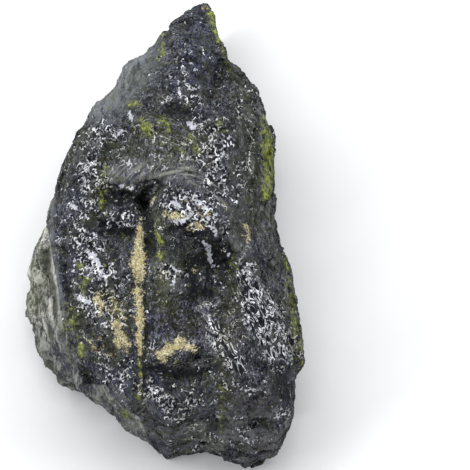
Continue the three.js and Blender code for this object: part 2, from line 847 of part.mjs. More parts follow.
/** The whole stone as one closed geometry, its resting face at z = 0 and its middle at x = y = 0. */
function makeStone() {
  const edge = dividedEdge();
  const upper = makeSide(edge, UPPER_RINGS, upperHeight);
  const lower = makeSide(edge, LOWER_RINGS, lowerHeight);
  const shift = upper.points.length - edge.length;
  const shared = (n) => (n < edge.length ? n : n + shift);
  const under = lower.triangles.map(([a, b, c]) => [a, c, b].map(shared));
  const points = [...upper.points, ...lower.points.slice(edge.length)];
  const triangles = [...upper.triangles, ...under];
  breakFlakes(points, triangles);
  const geometry = geometryOf(points, triangles);
  geometry.computeBoundingBox();
  const middle = geometry.boundingBox.getCenter(new THREE.Vector3());
  geometry.translate(-middle.x, -middle.y, 0);
  return geometry;
}

const stone = new THREE.Mesh(
  makeStone(),
  new THREE.MeshStandardMaterial({
    color: STONE_COLOUR,
    roughness: STONE_ROUGHNESS,
    metalness: STONE_METALNESS,
    flatShading: true,
  }),
);
stone.name = "rough_jade";

const roughJade = new THREE.Group();
roughJade.name = "rough jade stone";
roughJade.add(stone);

export default roughJade;
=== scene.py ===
"""Rough jade: the looks of one broken, wet stone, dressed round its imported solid.

Lengths are in metres in the solid's own frame: +Z up, origin under the middle of the stone. The
stone's broad face leans towards its foot, so what lies on that face is placed in millimetres on a
plan that leans with it: "across" runs to the right and "along" from the foot to the spire.
"""

from __future__ import annotations

import logging
import math
from dataclasses import asdict, dataclass, field
from enum import Enum
from typing import NamedTuple, TypeAlias

import bmesh
import bpy
import numpy as np
from mathutils import Matrix, Vector


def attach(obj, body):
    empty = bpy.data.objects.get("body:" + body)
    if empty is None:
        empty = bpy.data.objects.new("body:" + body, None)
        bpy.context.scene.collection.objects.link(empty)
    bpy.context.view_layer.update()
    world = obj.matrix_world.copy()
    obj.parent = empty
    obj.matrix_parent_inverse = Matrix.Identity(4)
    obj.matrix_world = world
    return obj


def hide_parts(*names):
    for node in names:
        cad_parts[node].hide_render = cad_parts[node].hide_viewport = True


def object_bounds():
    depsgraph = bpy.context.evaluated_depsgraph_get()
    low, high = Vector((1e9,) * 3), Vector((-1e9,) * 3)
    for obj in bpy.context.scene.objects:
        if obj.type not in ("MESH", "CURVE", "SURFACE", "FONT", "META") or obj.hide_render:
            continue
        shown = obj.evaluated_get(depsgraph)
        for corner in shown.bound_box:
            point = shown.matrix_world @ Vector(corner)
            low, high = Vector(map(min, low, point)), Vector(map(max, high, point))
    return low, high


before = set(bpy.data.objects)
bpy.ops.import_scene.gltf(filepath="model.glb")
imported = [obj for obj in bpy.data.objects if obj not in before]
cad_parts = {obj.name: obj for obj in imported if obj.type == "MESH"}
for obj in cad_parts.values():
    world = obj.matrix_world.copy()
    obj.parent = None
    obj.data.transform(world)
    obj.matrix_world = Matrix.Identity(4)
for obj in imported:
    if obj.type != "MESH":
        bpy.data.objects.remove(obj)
CAD_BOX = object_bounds()

LOG = logging.getLogger("rough_jade")
NODE = "rough_jade"
MM = 0.001
MIDDLE = (0.5, 0.5, 0.5)
Colour = tuple[float, float, float, float]
Feed: TypeAlias = "Signal | float | tuple"
Shade: TypeAlias = "Signal | int"


def paint(code: int) -> Colour:
    """A colour written as a hex number, as the linear values that a shader takes.

    Args:
        code: The colour as 0xRRGGBB, as it looks on a screen.

    Returns:
        Red, green, blue and an alpha of 1.
    """
    shares = [((code >> shift) & 255) / 255 for shift in (16, 8, 0)]
    linear = [s / 12.92 if s <= 0.04045 else ((s + 0.055) / 1.055) ** 2.4 for s in shares]
    return (*linear, 1.0)


# ---------------------------------------------------------------- node graphs


class Cells(NamedTuple):
    """A pattern of cells: how far the cell's middle is, the cell's own colour, and its middle."""

    distance: Signal
    colour: Signal
    middle: Signal


class Signal:
    """One output of a node. Arithmetic on it adds Math or Vector Math nodes."""

    def __init__(self, graph: Graph, socket: bpy.types.NodeSocket) -> None:
        """Wraps a socket of a graph."""
        self.graph = graph
        self.socket = socket

    @staticmethod
    def has_axes(value: Feed) -> bool:
        """Whether a value carries three numbers."""
        linked = isinstance(value, Signal) and value.socket.type in ("VECTOR", "RGBA")
        return linked or isinstance(value, tuple)

    def _math(self, operation: str, left: Feed, right: Feed = 0.0) -> Signal:
        """Adds one Math node, or a Vector Math node if an input has three numbers.

        Args:
            operation: The node's operation.
            left: The first input.
            right: The second input, or the number that a vector is scaled by.

        Returns:
            The node's output.
        """
        kind = "ShaderNodeVectorMath" if self.has_axes(left) or self.has_axes(right) else "ShaderNodeMath"
        second = "Scale" if operation == "SCALE" else 1
        return self.graph.signal(kind, {"operation": operation}, {0: left, second: right})

    def __add__(self, other: Feed) -> Signal:
        """The sum."""
        return self._math("ADD", self, other)

    __radd__ = __add__

    def __sub__(self, other: Feed) -> Signal:
        """The difference."""
        return self._math("SUBTRACT", self, other)

    def __rsub__(self, other: Feed) -> Signal:
        """The difference, with the signal taken away."""
        return self._math("SUBTRACT", other, self)

    def __mul__(self, other: Feed) -> Signal:
        """The product; a vector times a number is scaled."""
        scaled = self.has_axes(self) and not self.has_axes(other)
        return self._math("SCALE" if scaled else "MULTIPLY", self, other)

    __rmul__ = __mul__

    def __truediv__(self, other: Feed) -> Signal:
        """The quotient."""
        return self._math("DIVIDE", self, other)

    def __pow__(self, other: Feed) -> Signal:
        """The power."""
        return self._math("POWER", self, other)

    def most(self, other: Feed) -> Signal:
        """The larger of two values."""
        return self._math("MAXIMUM", self, other)

    def least(self, other: Feed) -> Signal:
        """The smaller of two values."""
        return self._math("MINIMUM", self, other)

    def size(self) -> Signal:
        """The value without its sign."""
        return self._math("ABSOLUTE", self)

    def ease(self, low: float, high: float, to_low: float = 0.0, to_high: float = 1.0) -> Signal:
        """A smooth step from one level to another.

        Args:
            low: Where the step starts.
            high: Where it ends.
            to_low: The result up to the start.
            to_high: The result past the end.

        Returns:
            The eased signal.
        """
        settings = {"interpolation_type": "SMOOTHSTEP"}
        inputs = {"Value": self, "From Min": low, "From Max": high, "To Min": to_low, "To Max": to_high}
        if low > high:
            inputs |= {"From Min": high, "From Max": low, "To Min": to_high, "To Max": to_low}
        return self.graph.signal("ShaderNodeMapRange", settings, inputs)

    def axes(self) -> tuple[Signal, Signal, Signal]:
        """The three numbers of a vector or a colour."""
        split = self.graph.node("ShaderNodeSeparateXYZ", {}, {0: self})
        return tuple(Signal(self.graph, socket) for socket in split.outputs[:3])

    def between(self, low: Feed, high: Feed) -> Signal:
        """Mixes two numbers, by this share of the second."""
        return self.graph.signal("ShaderNodeMix", {"data_type": "FLOAT"}, {0: self, 2: low, 3: high})

    def blend(self, low: Shade, high: Shade, mode: str = "MIX") -> Signal:
        """Mixes two colours.

        Args:
            low: The colour where this share is 0, as a signal or a hex number.
            high: The colour where it is 1.
            mode: The Mix node's blend type.

        Returns:
            The mixed colour.
        """
        settings = {"data_type": "RGBA", "blend_type": mode}
        first, second = (paint(shade) if isinstance(shade, int) else shade for shade in (low, high))
        return self.graph.signal("ShaderNodeMix", settings, {0: self, 6: first, 7: second}, 2)

    def coated(self, *coats: tuple[Signal, Shade], mode: str = "MIX") -> Signal:
        """This colour under thin coats of others.

        Args:
            coats: Each one's share and colour, the lowest first.
            mode: The Mix nodes' blend type.

        Returns:
            The colour on top.
        """
        colour = self
        for share, shade in coats:
            colour = share.blend(colour, shade, mode)
        return colour

    def leaning(self) -> Signal:
        """Turns this place in the frame into across, along and outwards on the leaning plan."""
        inputs = {"Vector": self, "Angle": -PLAN.lean}
        return self.graph.signal("ShaderNodeVectorRotate", {"rotation_type": "X_AXIS"}, inputs)

    def noise(
        self, size: float, detail: float = 2.0, roughness: float = 0.5, distortion: float = 0.0
    ) -> Signal:
        """Cloudy noise at this place, about 0 to 1 with a middle of 0.5.

        Args:
            size: The width of one cloud, in millimetres.
            detail: How many finer layers it has.
            roughness: How strong they are.
            distortion: How far the clouds are drawn out into worms.

        Returns:
            The noise.
        """
        inputs = {"Vector": self, "Scale": 1 / size, "Detail": detail}
        inputs |= {"Roughness": roughness, "Distortion": distortion}
        return self.graph.signal("ShaderNodeTexNoise", {}, inputs)

    def bent(self, size: float, reach: float) -> Signal:
        """This place, pushed about by noise.

        Args:
            size: The width of one cloud of the noise, in millimetres.
            reach: How strong the push is, in millimetres.

        Returns:
            The new place.
        """
        inputs = {"Vector": self, "Scale": 1 / size, "Detail": 2.0}
        push = self.graph.signal("ShaderNodeTexNoise", {}, inputs, "Color")
        return self + (push - MIDDLE) * reach

    def cells(self, dimensions: str = "3D") -> Cells:
        """Cells about 1 wide, in two or three dimensions.

        Args:
            dimensions: The Voronoi node's setting.

        Returns:
            What the cell at this place gives.
        """
        settings = {"voronoi_dimensions": dimensions}
        found = self.graph.node("ShaderNodeTexVoronoi", settings, {"Vector": self, "Scale": 1.0}).outputs
        return Cells(*(Signal(self.graph, found[name]) for name in ("Distance", "Color", "Position")))


class Graph:
    """A node tree under construction, for a material or for geometry."""

    def __init__(self, tree: bpy.types.NodeTree) -> None:
        """Starts from a tree, which is emptied."""
        self.tree = tree
        tree.nodes.clear()

    def node(self, kind: str, settings: dict | None = None, inputs: dict | None = None) -> bpy.types.Node:
        """Adds one node.

        Args:
            kind: The node's type.
            settings: Properties to set first. "stops" are a ramp's positions and colours.
            inputs: Values or signals by socket name or number.

        Returns:
            The new node.
        """
        made = self.tree.nodes.new(kind)
        for name, value in (settings or {}).items():
            if name == "stops":
                self._set_stops(made.color_ramp, value)
            else:
                setattr(made, name, value)
        for name, value in (inputs or {}).items():
            if isinstance(value, Signal):
                self.tree.links.new(value.socket, made.inputs[name])
            else:
                made.inputs[name].default_value = value
        return made

    @staticmethod
    def _set_stops(ramp: bpy.types.ColorRamp, stops: tuple[tuple[float, int], ...]) -> None:
        """Gives a ramp its stops.

        Args:
            ramp: The ramp, which starts with two.
            stops: Position and colour of each, from left to right.
        """
        while len(ramp.elements) < len(stops):
            ramp.elements.new(0.5)
        for element, (position, code) in zip(ramp.elements, stops):
            element.position = position
            element.color = paint(code)

    def signal(
        self, kind: str, settings: dict | None = None, inputs: dict | None = None, output: int | str = 0
    ) -> Signal:
        """Adds one node and returns one of its outputs, by name or number."""
        return Signal(self, self.node(kind, settings, inputs).outputs[output])

    def vector(self, x: Feed, y: Feed, z: Feed) -> Signal:
        """Three values as one vector."""
        return self.signal("ShaderNodeCombineXYZ", {}, {0: x, 1: y, 2: z})

    def place(self) -> Signal:
        """The place in a material's object, in millimetres."""
        return self.signal("ShaderNodeTexCoord", output="Object") * (1 / MM)

    def attribute(self, name: str) -> Signal:
        """Reads one vertex attribute.

        Args:
            name: The attribute's name.

        Returns:
            Its value.
        """
        if isinstance(self.tree, bpy.types.GeometryNodeTree):
            return self.signal("GeometryNodeInputNamedAttribute", {"data_type": "FLOAT"}, {"Name": name})
        return self.signal("ShaderNodeAttribute", {"attribute_name": name}, output="Fac")

    def marks(self) -> dict[Mark, Signal]:
        """Every mark's cover."""
        return {mark: self.attribute(mark.value) for mark in Mark}


# ---------------------------------------------------------------- the plan and what lies on it


@dataclass(frozen=True)
class Plan:
    """The leaning plan of the broad face, in millimetres."""

    lean: float = math.radians(14)
    middle_across: float = -3.75
    middle_back: float = -2.19

    def places(self, points: np.ndarray) -> np.ndarray:
        """Where points of the frame lie on the plan.

        Args:
            points: Rows of x, y and z in metres.

        Returns:
            Rows of across and along.
        """
        across = points[:, 0] / MM + self.middle_across
        back = points[:, 1] / MM + self.middle_back
        along = back * math.cos(self.lean) + points[:, 2] / MM * math.sin(self.lean)
        return np.stack([across, along], axis=1)

    def point(self, across: float, along: float, height: float) -> Vector:
        """A place on the plan, at a height above the resting face in millimetres, as a point of the frame."""
        back = (along - height * math.sin(self.lean)) / math.cos(self.lean)
        return Vector((across - self.middle_across, back - self.middle_back, height)) * MM

    def facing(self) -> np.ndarray:
        """The direction that the broad face looks in."""
        return np.array([0.0, -math.sin(self.lean), math.cos(self.lean)])


PLAN = Plan()


class Mark(Enum):
    """What a stroke on the stone lays down, by the name of its vertex attribute."""

    SAND = "sand"
    MOSS = "moss"
    DRY = "dry"
    CALM = "calm"
    WRINKLED = "wrinkled"
    LAYERED = "layered"
    SHADY = "shady"
    GLAZED = "highlight_flakes"
    PALE = "pale"
    OLIVE = "olive"
    NAVY = "navy"
    BROWN = "brown"
    SPARKLING = "sparkling"


def beside(places: np.ndarray, start: tuple, end: tuple) -> tuple[np.ndarray, np.ndarray, np.ndarray]:
    """Where places of the plan lie beside a straight line.

    Args:
        places: Rows of across and along.
        start: The line's start, across and along.
        end: The line's end.

    Returns:
        For each place the share of the way along the line, the distance from it, and a number
        that is below 0 on the line's right.
    """
    run = np.subtract(end, start)
    off = places - start
    share = np.clip(off @ run / max(run @ run, 1e-9), 0, 1)
    distance = np.linalg.norm(off - share[:, None] * run, axis=1)
    return share, distance, run[0] * off[:, 1] - run[1] * off[:, 0]


@dataclass(frozen=True)
class Stroke:
    """A run of places on the plan, each with a half width, that fades at its outline."""

    fade: float
    strength: float
    run: tuple[tuple[float, float, float], ...]

    def cover(self, places: np.ndarray) -> np.ndarray:
        """How strongly the stroke covers each place: full inside, half at its outline, 0 outside.

        Args:
            places: Rows of across and along.

        Returns:
            One number for each place.
        """
        nearest = np.full(len(places), np.inf)
        for start, end in zip(self.run, self.run[1:] or self.run):
            share, distance, _ = beside(places, start[:2], end[:2])
            nearest = np.minimum(nearest, distance - (start[2] + share * (end[2] - start[2])))
        return self.strength * np.clip(0.5 - nearest / (2 * self.fade), 0, 1)


@dataclass(frozen=True)
class BreakLine:
    """A line on the plan; what lies on the right of it, walking along it, is marked."""

    run: tuple[tuple[float, float], ...]
    fade: float = 1.6

    def cover(self, places: np.ndarray) -> np.ndarray:
        """How strongly the mark covers each place: half on the line itself.

        Args:
            places: Rows of across and along.

        Returns:
            One number for each place.
        """
        nearest = np.full(len(places), np.inf)
        signed = np.zeros(len(places))
        for start, end in zip(self.run, self.run[1:]):
            _, distance, turn = beside(places, start, end)
            closer = distance < nearest
            nearest = np.where(closer, distance, nearest)
            signed = np.where(closer, np.where(turn < 0, distance, -distance), signed)
        return np.clip(0.5 + signed / (2 * self.fade), 0, 1)


# The strokes of each mark. A stroke has its fade and its strength, and then its places: across,
# along and half width, in millimetres.
STROKES: dict[Mark, tuple] = {
    # Packed into the seam, into pockets beside it and on the lip of the smooth break.
    Mark.SAND: (
        (2.4, 1, (-16, 10, 0.8), (-16.5, 2, 1.6), (-17, -6, 2.8), (-17.5, -12, 3.6), (-16, -20, 2)),
        (2.2, 1, (-18, -22, 0.8), (-17.4, -29, 2.4), (-16.2, -38, 1.6), (-16.4, -44, 2), (-16.4, -58, 0.8)),
        (2.8, 1, (-28.5, -41, 1.4), (-27.5, -46, 2), (-25, -51, 3.6), (-23.5, -55, 1)),
        (2.4, 0.9, (-38, -30, 1.8), (-35, -33, 1.2), (-37, -37, 0.8)),
        (3.4, 0.92, (-9, -56, 1.4), (-5, -58, 2.8), (-1, -55, 2.4), (4, -51, 2.4)),
        (3, 0.9, (4, -51, 1.8), (8, -54, 1.8), (12, -55.5, 0.8)),
        (2.4, 0.9, (-4, 13, 1), (1, 12, 2), (5, 12, 1.2)),
        (2.2, 0.85, (8, 5.5, 1), (12, 7.5, 1.8), (16, 6.5, 1.2)),
        (2, 0.85, (37.5, 7, 1), (38.8, 3, 1.6), (38.6, 0, 1)),
        (1.6, 0.8, (-11.5, 17, 0.6), (-9, 21, 0.8)),
        (2.2, 0.55, (-16.5, -62, 1), (-16.5, -72, 0.8)),
        (2.2, 0.7, (-41, -52, 0.8), (-38.5, -56, 1.3)),
        (1.6, 0.6, (-16, -28, 0.6), (-14, -26, 0.8)),
        (3, 0.46, (-36, -28, 3), (-28, -33, 4), (-24, -40, 3)),
        (3, 0.4, (-36, -50, 2), (-32, -58, 3)),
        (2.6, 0.42, (-2, -60, 1.6), (5, -62, 2)),
        (3, 0.35, (8, 19, 3), (17, 13, 4)),
        (1.6, 0.7, (26.6, 19.4, 0.4), (27.6, 15, 0.6)),
        (1.2, 0.8, (9.2, -12, 0.4), (11.4, -16.5, 0.5)),
        (1.4, 0.75, (15.5, 119.4, 0.8), (17.6, 118.6, 0.9)),
    ),
    # Yellow-green rind and stain.
    Mark.MOSS: (
        (2.4, 0.9, (-21, 69, 1.8), (-19, 68.5, 1.6)),
        (3.2, 1, (-14, 60, 2), (-11.5, 54, 2.2)),
        (3, 1, (-5, 60, 2), (-2, 57, 1.6)),
        (3, 0.95, (9, 52, 1.2), (12, 46, 2)),
        (3, 0.7, (24, 60, 2), (22, 54, 1.6)),
        (2.8, 0.7, (24, 59, 1.4), (26, 56, 1.2)),
        (3, 0.75, (-34, 36, 1.2), (-35.5, 26, 2), (-36.5, 16, 1.4)),
        (1.8, 1, (-8.2, 6, 0.6), (-6.8, 1.4, 1.8), (-6, -0.6, 2)),
        (2.8, 0.9, (-46, -12, 1.2), (-44, -20, 1.8), (-45, -25, 1)),
        (4, 0.6, (-52, -34, 2), (-51, -43, 4), (-50, -50, 1.4)),
        (2, 1, (-46.5, -53, 1.4), (-46, -58, 1.8)),
        (4, 0.5, (-70, -16, 2), (-66, -22, 3)),
        (2.4, 0.7, (-41, -48, 1), (-40, -56, 1.2)),
        (2, 0.85, (-16.5, -60, 0.8), (-16.5, -80, 1)),
        (1.4, 1, (-25, -87.5, 1.2), (-23.5, -88, 1)),
        (3, 1, (46, 62, 1.2), (47.6, 52, 2.6), (48.6, 42, 3), (48.6, 32, 3), (47, 22, 2)),
        (3, 0.78, (56, -6, 0.8), (59, -20, 1.2), (61, -34, 1.4), (63, -50, 1.6), (65, -66, 1.6)),
        (3, 0.75, (-6, 106, 1.6), (-5, 98, 1.8), (-6, 92, 1.2)),
        (2.4, 0.6, (26, 101, 0.8), (27, 93, 1.2), (29, 86, 1)),
        (2.4, 0.95, (18, 119, 1), (20.5, 113, 1.6), (22.5, 104, 1.2), (25, 97, 1.4)),
        (2, 0.65, (6.4, -99, 0.8), (7.4, -107, 0.8)),
        (1.6, 1, (-24, -86, 1.2), (-23, -89.5, 1.6)),
        (2.5, 0.5, (-57, 34, 1), (-50, 50, 1.2), (-40, 68, 1.2)),
        (4, 0.42, (-8, -2, 3), (-4, -16, 4), (-4, -26, 3)),
        (2.4, 0.6, (-26, -30, 1), (-27, -36, 1)),
        (2, 0.7, (30, -9, 1), (31, -14, 1)),
        (4, 0.5, (-6, 48, 2), (6, 45, 2)),
        (1.8, 0.75, (24.5, -70, 0.8), (25.4, -82, 1.2), (24.6, -98, 0.6)),
    ),
    # Broad olive clouds.
    Mark.OLIVE: (
        (8, 1, (-14, 55, 5), (0, 50, 6), (14, 50, 4)),
        (5, 0.8, (-35, 40, 3), (-37, 20, 4)),
        (6, 0.8, (-72, -20, 3), (-70, -32, 3)),
        (4, 0.7, (-58, -6, 1), (-50, 4, 2)),
        (5, 1, (-7, 10, 3), (-8, -10, 4), (-5, -22, 6), (-2, -36, 5)),
        (5, 0.9, (29, -8, 3), (31, -24, 4), (27, -50, 4)),
        (6, 0.9, (24, -60, 3), (27, -76, 4), (24, -92, 3)),
        (6, 0.8, (30, 92, 2), (38, 66, 4), (40, 40, 5), (42, 10, 4)),
        (5, 0.9, (-50, -30, 3), (-46, -56, 4)),
        (5, 1, (-33, -28, 5), (-26, -42, 6), (-29, -58, 5)),
        (4, 0.8, (-16, -66, 3), (-16, -84, 3)),
        (7, 0.6, (5, -78, 5), (8, -96, 5)),
        (4, 0.9, (60, -30, 4), (66, -60, 4)),
        (4, 1, (10, -94, 3), (22, -104, 4)),
        (4, 0.7, (-42, 54, 3), (-50, 40, 3), (-54, 28, 3)),
        (5, 0.7, (-32, 48, 4), (-14, 42, 5), (6, 41, 4)),
        (3, 0.6, (28, 16, 2), (33, -2, 3)),
        (2, 1.2, (-8, 12, 2), (-7, 4, 2.4)),
    ),
    # Bluer zones of the spire, the foot and the left.
    Mark.NAVY: (
        (7, 1, (16, 110, 8), (12, 92, 9), (8, 78, 6)),
        (3, 1, (56, -60, 3), (57, -80, 3)),
        (3, 1, (20, -72, 2.4), (20, -92, 2.4)),
        (3, 1, (-40, -76, 4), (-34, -82, 3)),
        (8, 0.9, (-24, -66, 8), (-2, -84, 12), (14, -96, 6)),
        (5, 1, (56, -94, 3), (50, -106, 4)),
        (6, 0.6, (-52, 30, 6), (-52, 0, 6), (-50, -22, 4)),
        (8, 1, (-60, -52, 4), (-50, -70, 8), (-37, -86, 8), (-12, -108, 8)),
        (4, 0.9, (-9, -38, 4), (-3, -44, 5)),
    ),
    # Plum-brown zones of the right and the foot.
    Mark.BROWN: (
        (4, 0.9, (30, -30, 3), (35, -52, 4)),
        (6, 1, (30, -78, 4), (44, -84, 8), (42, -106, 8)),
        (4, 0.6, (-4, -40, 6), (12, -44, 8)),
        (4, 0.6, (30, 26, 3), (33, 8, 3), (40, -8, 4)),
    ),
    # Brushed, hazy zones and the pale edges of breaks.
    Mark.PALE: (
        (7, 1, (-12, 100, 4), (-18, 90, 7), (-27, 78, 8), (-38, 66, 6)),
        (4, 0.5, (-30, 34, 3), (-12, 35, 4), (4, 35, 4), (16, 28, 2)),
        (3, 0.8, (29, 1, 1.4), (34, -4, 2)),
        (10, 0.25, (-12, -92, 9), (18, -98, 8), (44, -94, 10)),
        (4, 0.8, (8, -99, 3), (22, -104, 4)),
        (4, 0.7, (-4, -12, 3), (0, -24, 2)),
        (6, 0.25, (28, 30, 4), (34, 12, 5), (38, -2, 5)),
        (1.6, 0.9, (-61, 20, 0.8), (-62, 6, 1), (-60, -6, 1), (-57.5, -26, 1), (-55.5, -42, 0.8)),
        (1.4, 0.9, (-33, -72, 0.6), (-27, -79, 0.8), (-20, -88, 0.6)),
    ),
    # Smooth breaks.
    Mark.CALM: (
        (2, 1, (17.5, 98, 2.6), (17, 80, 3.4)),
        (3, 0.8, (56, -60, 3), (57, -80, 3)),
        (6, 0.8, (16, 112, 6), (18, 92, 6), (20, 76, 4)),
        (3, 1, (-8, -36, 5), (-6, -46, 6), (-4, -52, 5)),
        (4, 1, (4, -34, 8), (10, -40, 8), (14, -48, 6)),
        (4, 0.5, (-25, 33, 5), (-10, 33, 5), (4, 33, 4)),
        (5, 0.5, (28, 30, 4), (34, 10, 5), (36, -10, 5), (32, -30, 4)),
        (5, 0.5, (40, 66, 3), (36, 40, 3), (40, 16, 4)),
        (6, 0.5, (26, -70, 5), (32, -82, 6), (30, -100, 5)),
        (6, 0.75, (-38, 66, 8), (-28, 76, 8), (-14, 88, 8), (0, 100, 6)),
        (5, 0.5, (-2, -86, 5), (-4, -98, 6)),
        (5, 0.5, (18, 92, 5), (22, 76, 4)),
    ),
    # The wrinkled right face.
    Mark.WRINKLED: (
        (4, 1, (36, -20, 5), (43, -34, 9), (54, -54, 9)),
        (3, 1, (19, -43, 4), (26, -54, 6), (34, -66, 5)),
    ),
    # Fine layers over the boss.
    Mark.LAYERED: (
        (4, 0.8, (-30, 33, 3), (-18, 34, 5), (-6, 36, 5), (6, 35, 4), (18, 28, 4), (27, 18, 3)),
        (3, 0.3, (-8, -26, 3), (2, -27, 4), (12, -30, 3)),
    ),
    # Where the thin painted highlights crowd together.
    Mark.SPARKLING: (
        (6, 0.8, (6, 88, 3), (10, 66, 5)),
        (7, 0.75, (16, 60, 5), (22, 46, 9), (28, 24, 6)),
        (7, 0.7, (-34, 58, 5), (-42, 40, 7), (-44, 20, 8)),
        (6, 0.85, (-50, 8, 4), (-42, -8, 8), (-32, -20, 8), (-40, -34, 6), (-26, -42, 4)),
        (4, 0.9, (-30, 9, 6), (-22, 10, 4)),
        (4, 1.2, (0, 20, 6), (12, 14, 9), (22, 6, 6)),
        (4, 0.9, (-2, -16, 3), (0, -20, 3)),
        (5, 1.1, (38, -18, 4), (44, -36, 10), (55, -56, 8)),
        (3, 0.9, (19, -43, 3), (26, -54, 5), (34, -66, 4)),
        (6, 0.65, (-32, -64, 7), (-20, -72, 7)),
        (6, 0.9, (-8, -78, 6), (2, -86, 7), (12, -80, 4)),
        (8, 0.45, (12, -104, 8), (36, -98, 8)),
        (6, 0.5, (36, 74, 5), (40, 50, 4)),
        (3, 0.9, (54, -84, 3), (58, -87, 2)),
        (4, 0.7, (26, -72, 3), (40, -76, 3)),
    ),
    # Deep shade in clefts, slots and hollows.
    Mark.SHADY: (
        (2, 0.45, (17.5, 98, 2.2), (17, 80, 3)),
        (3, 0.7, (-41, -74, 3), (-34, -81, 2)),
        (1.6, 1.1, (-34, 21.5, 2.8), (-27, 21, 4), (-19, 21.5, 3)),
        (1.6, 1.1, (-36, 3, 1.6), (-28, 3.5, 2.6), (-20, 4, 2.2)),
        (1.8, 1, (-13, 27, 1.4), (-14, 21, 2.6), (-12.5, 13, 2.8)),
        (1.4, 1.3, (-14.5, 22, 2), (-12.8, 13, 2.2), (-11.4, 4, 3.2), (-11.2, -6, 3.4)),
        (3, 1, (6, 5, 1), (14, 0, 3), (22, -3, 4), (27, -8, 6), (22, -18, 7)),
        (3, 1.2, (14, -10, 4), (24, -8, 6), (26, -14, 5)),
        (1.6, 1.1, (4, 4, 1), (11, 3, 1.6), (19, 3, 2)),
        (1.6, 1, (-15, -52, 1), (-15.5, -66, 1.8)),
        (3.6, 0.95, (8, -10, 4), (12, -24, 5), (20, -27, 4)),
        (3, 0.6, (4, -10, 2), (7, -22, 2)),
        (3, 1, (-12, -64, 1.8), (0, -68, 3.6), (12, -67, 3.4), (22, -64, 2)),
        (1.3, 1, (-13.5, -12, 0.8), (-13.8, -40, 1), (-13.6, -62, 1.4), (-14.2, -76, 1.4)),
        (4, 1, (54, -64, 3), (56, -78, 5)),
        (3, 1, (-3, 66, 3), (3, 66, 4), (11, 63, 2)),
        (3, 0.7, (6, 60, 1.6), (16, 62, 2)),
        (6, 0.55, (10, 104, 4), (13, 92, 6), (16, 78, 5)),
        (1.4, 1.3, (-3, 3.8, 1.6), (2, 6, 2.2), (7.6, 8, 1.4)),
        (8, 0.3, (40, -84, 6), (50, -94, 6), (44, -108, 6)),
        (2.4, 0.9, (-54.5, 8, 1.2), (-55, -4, 1.8), (-54.5, -18, 2.2), (-52, -34, 1.8)),
        (1, 0.9, (0, -40, 0.3), (6.6, -52, 0.4)),
        (5, 0.5, (42, 70, 3), (44, 44, 3), (47, 16, 3), (48, -4, 2)),
        (3, 0.7, (-22, -40, 2), (-20, -56, 3)),
        (3, 0.6, (-36, 33, 2), (-30, 27, 2)),
        (4, 0.5, (-40, -60, 4), (-26, -60, 4)),
        (3, 0.9, (-67, -23, 1.4), (-66, -35, 2)),
        (3, 0.9, (-70, -46, 1.2), (-67, -58, 1.6)),
        (3, 0.95, (-57, -42, 1.6), (-54, -58, 2.4), (-50, -76, 2)),
        (3, 0.9, (-64, -58, 1.4), (-58, -70, 2)),
        (3, 0.8, (-40, -78, 1.6), (-30, -86, 2), (-22, -98, 2)),
        (3, 0.6, (-70, 2, 1), (-72, -12, 1.4)),
        (6, 0.6, (-60, -56, 4), (-50, -70, 8), (-37, -86, 9), (-12, -108, 9)),
    ),
    # Broad painted highlights on flat wet flakes.
    Mark.GLAZED: (
        (1.4, 1, (9, 59, 1.2), (11, 56, 1.6)),
        (0.8, 1, (3, 82, 0.3), (3.4, 76, 0.4), (4, 69, 0.4)),
        (1.4, 1, (-44, -6, 0.8), (-39, -9, 1.8), (-37, -14, 1), (-33, -20, 0.7)),
        (1.4, 0.95, (-48, -29, 0.8), (-42, -32, 1.2)),
        (1.3, 1, (0, 18.5, 0.9), (4, 17, 1.2)),
        (1.3, 1, (1, 8.6, 0.7), (6, 9.4, 1.3), (10.4, 13.6, 0.8)),
        (1.5, 1, (12, 20, 0.8), (17, 16, 1)),
        (1.3, 0.9, (6, 22, 0.5), (10, 23, 0.6)),
        (1.3, 0.9, (17, 10, 0.6), (21, 12, 0.6)),
        (1.2, 1, (16, -1, 0.8), (18.5, -5, 1.2), (19.5, -12, 1), (21, -14.5, 0.5)),
        (1.2, 0.9, (20, 7, 0.6), (22, 3, 0.8)),
        (1.2, 0.95, (-26, 27, 0.8), (-20, 26, 0.9)),
        (1.2, 0.95, (-52, 18, 0.8), (-49, 16, 0.9)),
        (1.4, 0.9, (-22, 65, 0.8), (-21, 61, 0.8)),
        (1.4, 0.9, (-30, 53, 0.8), (-24, 55, 0.9)),
        (1.2, 0.8, (9, 90, 0.3), (12, 85, 0.4)),
        (0.8, 1, (-8.4, 22, 0.3), (-10.6, 17, 0.4)),
        (1, 1, (-0.5, -13, 0.5), (2.5, -16, 0.7)),
        (0.8, 1, (0.4, -20, 0.4), (1, -23, 0.5)),
        (0.8, 1, (6, -22.5, 0.4), (10.5, -21.8, 0.3)),
        (0.8, 1, (21.4, -20, 0.6), (21.6, -21.4, 0.6)),
        (0.8, 1, (28.4, -7.4, 0.6)),
        (1, 1, (22, -88.5, 0.6), (23.4, -89.4, 0.6)),
        (1, 1, (52.6, -88, 0.6), (53.4, -90.6, 0.6)),
        (0.8, 1, (14, -17, 0.5)),
        (0.8, 1, (8, -16.5, 0.5)),
        (0.8, 1, (3, -24, 0.4)),
    ),
}

# Everything on this side of the broad face's left edge is dry.
DRY_SIDE = BreakLine(
    (
        (-60, 34), (-62, 20), (-64.3, 9), (-61.2, -5), (-57.6, -25.5), (-55.6, -42), (-50, -56), (-45, -73),
        (-33.2, -73), (-30.6, -79), (-24.5, -85), (-16.8, -89.5), (-11.7, -102), (-6.6, -112),
    )
)


